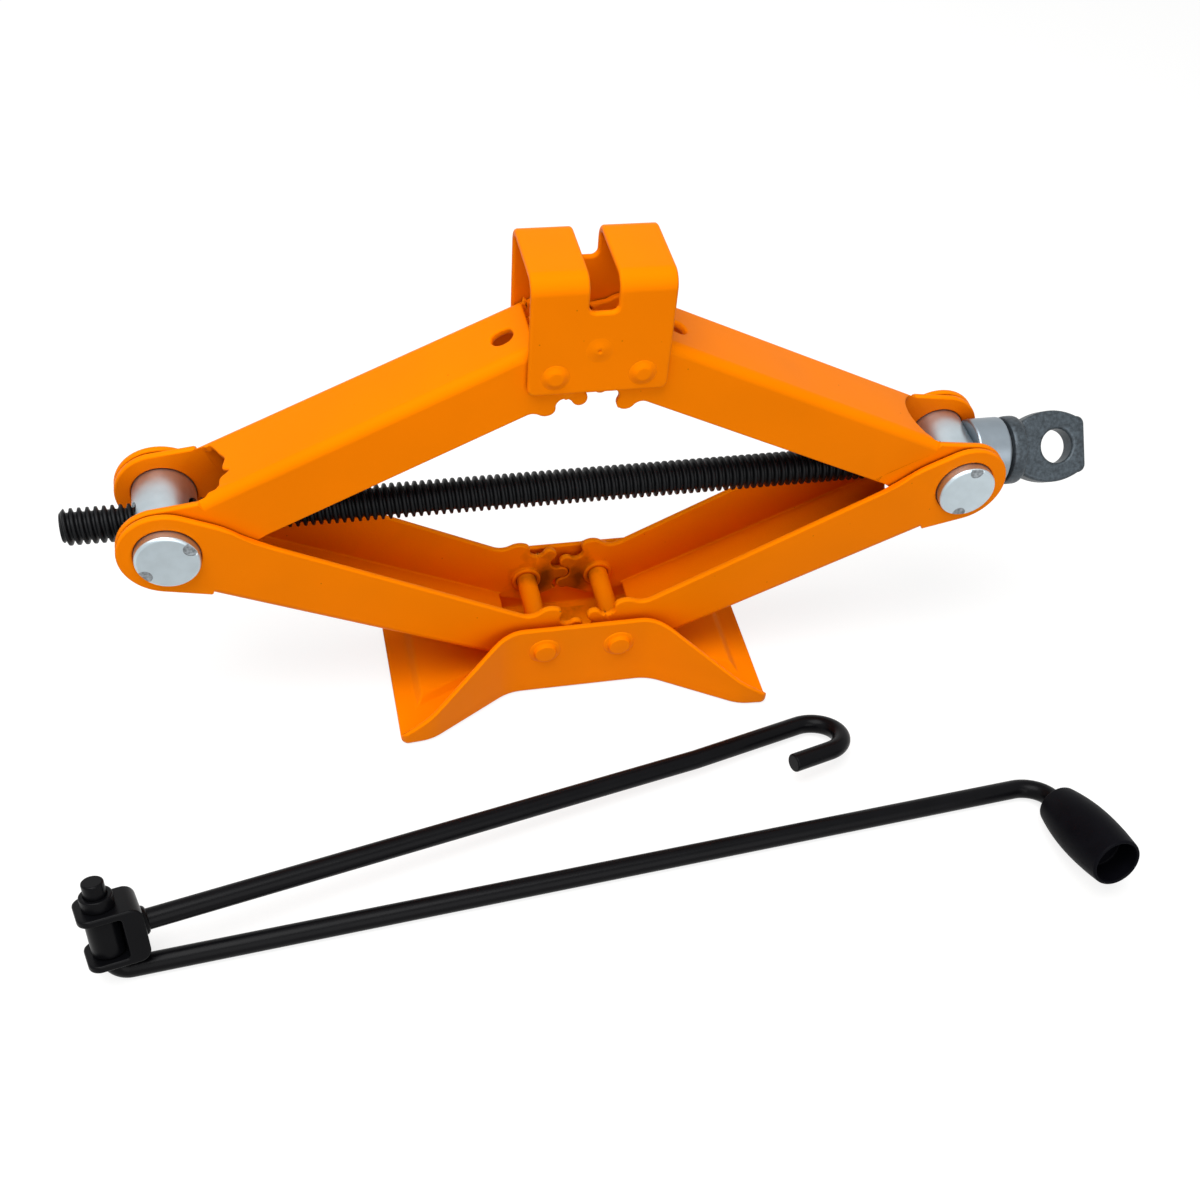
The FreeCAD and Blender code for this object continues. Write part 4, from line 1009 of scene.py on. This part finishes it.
class JACK_OT_handle(bpy.types.Operator):
    """Bend the crank and hook rods, fold the clevis and fit the washer, sleeve and weld at the pivot"""

    bl_idname = "jack.handle"
    bl_label = "Bend handle"

    def execute(self, context):
        sizes = context.scene.jack_handle
        enamel = bpy.data.materials["black_enamel"]
        # Node, body and round of its edges
        for name, body, size in (
            ("crank_rod", "crank", 0.7 * MM), ("hook_rod", "hook", 0.7 * MM),
            ("clevis_bracket", "hook", 0.8 * MM), ("pivot_washer", "crank", 0.5 * MM),
        ):
            piece = softened(f"enamelled_{name}", solid_copy(name), evenly(size), size, 3)
            settle(piece, enamel, body, [name])

        joint = next(item for item in frame["joints"] if item["name"] == "hook_fold")
        spot, axis = Vector(joint["pos_m"]), Vector(joint["axis"])
        half, wide = sizes.sleeve_half, sizes.sleeve
        tube = [(half, sizes.rod), (half, wide - SLEEVE_CHAMFER), (half - SLEEVE_CHAMFER, wide)]
        tube += [(-along, radius) for along, radius in reversed(tube)] + tube[:1]
        piece = link("pivot_sleeve", lathe("pivot_sleeve", tube, SLEEVED, spot, axis))
        settle(evened(piece), enamel, "crank", [])

        # The weld is a fillet round the hook rod, where it meets the back of the clevis
        start = [point for point in world_points("hook_rod") if (point - spot).length < ROD_NEAR]
        away = (sum(start, Vector()) / len(start) - spot).normalized()
        reach = max((point - spot).dot(away) for point in world_points("clevis_bracket"))
        foot = sizes.rod - WELD_BITE
        bead = [(-SUNK, foot), (-SUNK, sizes.rod + sizes.weld)]
        bead += arc_points(0.0, foot, sizes.weld, 90, 0, 6) + bead[:1]
        piece = link("clevis_weld", lathe("clevis_weld", bead, TURNED, spot + away * reach, away))
        settle(piece, enamel, "hook", [])
        return {"FINISHED"}


class JACK_OT_grip(bpy.types.Operator):
    """Mould the barrel grip"""

    bl_idname = "jack.grip"
    bl_label = "Mould grip"

    def execute(self, context):
        piece = softened("moulded_grip", solid_copy("crank_grip"), evenly(GRIP_ROUND), GRIP_ROUND, 3)
        settle(piece, bpy.data.materials["moulded_grip"], "grip", ["crank_grip"])
        return {"FINISHED"}


class JACK_OT_stage(bpy.types.Operator):
    """Lay the floor, hang the lamps and set the camera"""

    bl_idname = "jack.stage"
    bl_label = "Set stage"

    def execute(self, context):
        scene = context.scene
        sizes = scene.jack_stage
        scene.view_settings.view_transform = "Standard"
        work = bmesh.new()
        bmesh.ops.create_grid(work, x_segments=1, y_segments=1, size=FLOOR_HALF)
        floor = link("floor", meshed("floor", work))
        floor.location.z = -FLOOR_DROP
        # Seen, the floor is nearly white and keeps the shadow; it lights the jack as a grey floor would
        material = bpy.data.materials.new("studio_floor")
        material.use_nodes = True
        tree = material.node_tree
        tree.nodes.clear()
        colour = linear(sizes.floor)
        plain = node(tree, "ShaderNodeBsdfDiffuse", {"Color": [*shaded(colour, FLOOR_LIT), 1]})
        pale = node(tree, "ShaderNodeBsdfDiffuse", {"Color": [*shaded(colour, FLOOR_SEEN), 1]})
        glow = node(tree, "ShaderNodeEmission", {"Color": WHITE, "Strength": FLOOR_GLOW})
        both = node(tree, "ShaderNodeAddShader", {0: pale.outputs[0], 1: glow.outputs[0]})
        mixed = node(tree, "ShaderNodeMixShader", {0: seen(tree), 1: plain.outputs[0], 2: both.outputs[0]})
        node(tree, "ShaderNodeOutputMaterial", {"Surface": mixed.outputs[0]})
        floor.data.materials.append(material)

        world = bpy.data.worlds.new("studio")
        scene.world = world
        world.use_nodes = True
        tree = world.node_tree
        tree.nodes.clear()
        dim = node(tree, "ShaderNodeBackground", {"Color": WHITE, "Strength": WORLD_LIT})
        white = node(tree, "ShaderNodeBackground", {"Color": WHITE, "Strength": WORLD_SEEN})
        mixed = node(tree, "ShaderNodeMixShader", {0: seen(tree), 1: dim.outputs[0], 2: white.outputs[0]})
        node(tree, "ShaderNodeOutputWorld", {"Surface": mixed.outputs[0]})

        for name, spot, size in LAMPS:
            lamp = bpy.data.lights.new(name, "AREA")
            lamp.size = size
            lamp.energy = getattr(sizes, name)
            stand = link(name, lamp)
            aim = (AIM - Vector(spot)).to_track_quat("-Z", "Y").to_matrix().to_4x4()
            stand.matrix_world = Matrix.Translation(spot) @ aim

        camera = bpy.data.cameras.new("camera")
        camera.lens = sizes.lens
        camera.shift_x, camera.shift_y = sizes.shift
        eye = link("camera", camera)
        turn = Matrix.Rotation(sizes.swing, 4, "Z") @ Matrix.Rotation(sizes.tilt, 4, "X")
        eye.matrix_world = Matrix.Translation(sizes.location) @ turn @ Matrix.Rotation(sizes.roll, 4, "Z")
        scene.camera = eye
        return {"FINISHED"}


STEPS = (
    JACK_OT_finishes, JACK_OT_base, JACK_OT_arms, JACK_OT_saddle, JACK_OT_rivets, JACK_OT_cross_pins,
    JACK_OT_screw, JACK_OT_bearing, JACK_OT_eye, JACK_OT_handle, JACK_OT_grip, JACK_OT_stage,
)
GROUPS = (
    ("jack_sheet", JackSheet), ("jack_screw", JackScrew), ("jack_rivets", JackRivets),
    ("jack_handle", JackHandle), ("jack_colours", JackColours), ("jack_stage", JackStage),
)


class JACK_PT_panel(bpy.types.Panel):
    """The sizes, colours and steps of the jack"""

    bl_idname = "JACK_PT_panel"
    bl_label = "Scissor jack"
    bl_space_type = "VIEW_3D"
    bl_region_type = "UI"
    bl_category = "Jack"

    def draw(self, context):
        for name, kind in GROUPS:
            box = self.layout.box()
            box.label(text=kind.__doc__)
            for prop in kind.__annotations__:
                box.prop(getattr(context.scene, name), prop)
        for step in STEPS:
            self.layout.operator(step.bl_idname)


def register():
    for name, kind in GROUPS:
        bpy.utils.register_class(kind)
        setattr(bpy.types.Scene, name, bpy.props.PointerProperty(type=kind))
    for step in STEPS:
        bpy.utils.register_class(step)
    bpy.utils.register_class(JACK_PT_panel)


def unregister():
    bpy.utils.unregister_class(JACK_PT_panel)
    for step in reversed(STEPS):
        bpy.utils.unregister_class(step)
    for name, kind in reversed(GROUPS):
        delattr(bpy.types.Scene, name)
        bpy.utils.unregister_class(kind)


def main():
    register()
    for step in STEPS:
        area, name = step.bl_idname.split(".")
        getattr(getattr(bpy.ops, area), name)()


if __name__ == "__main__":
    main()
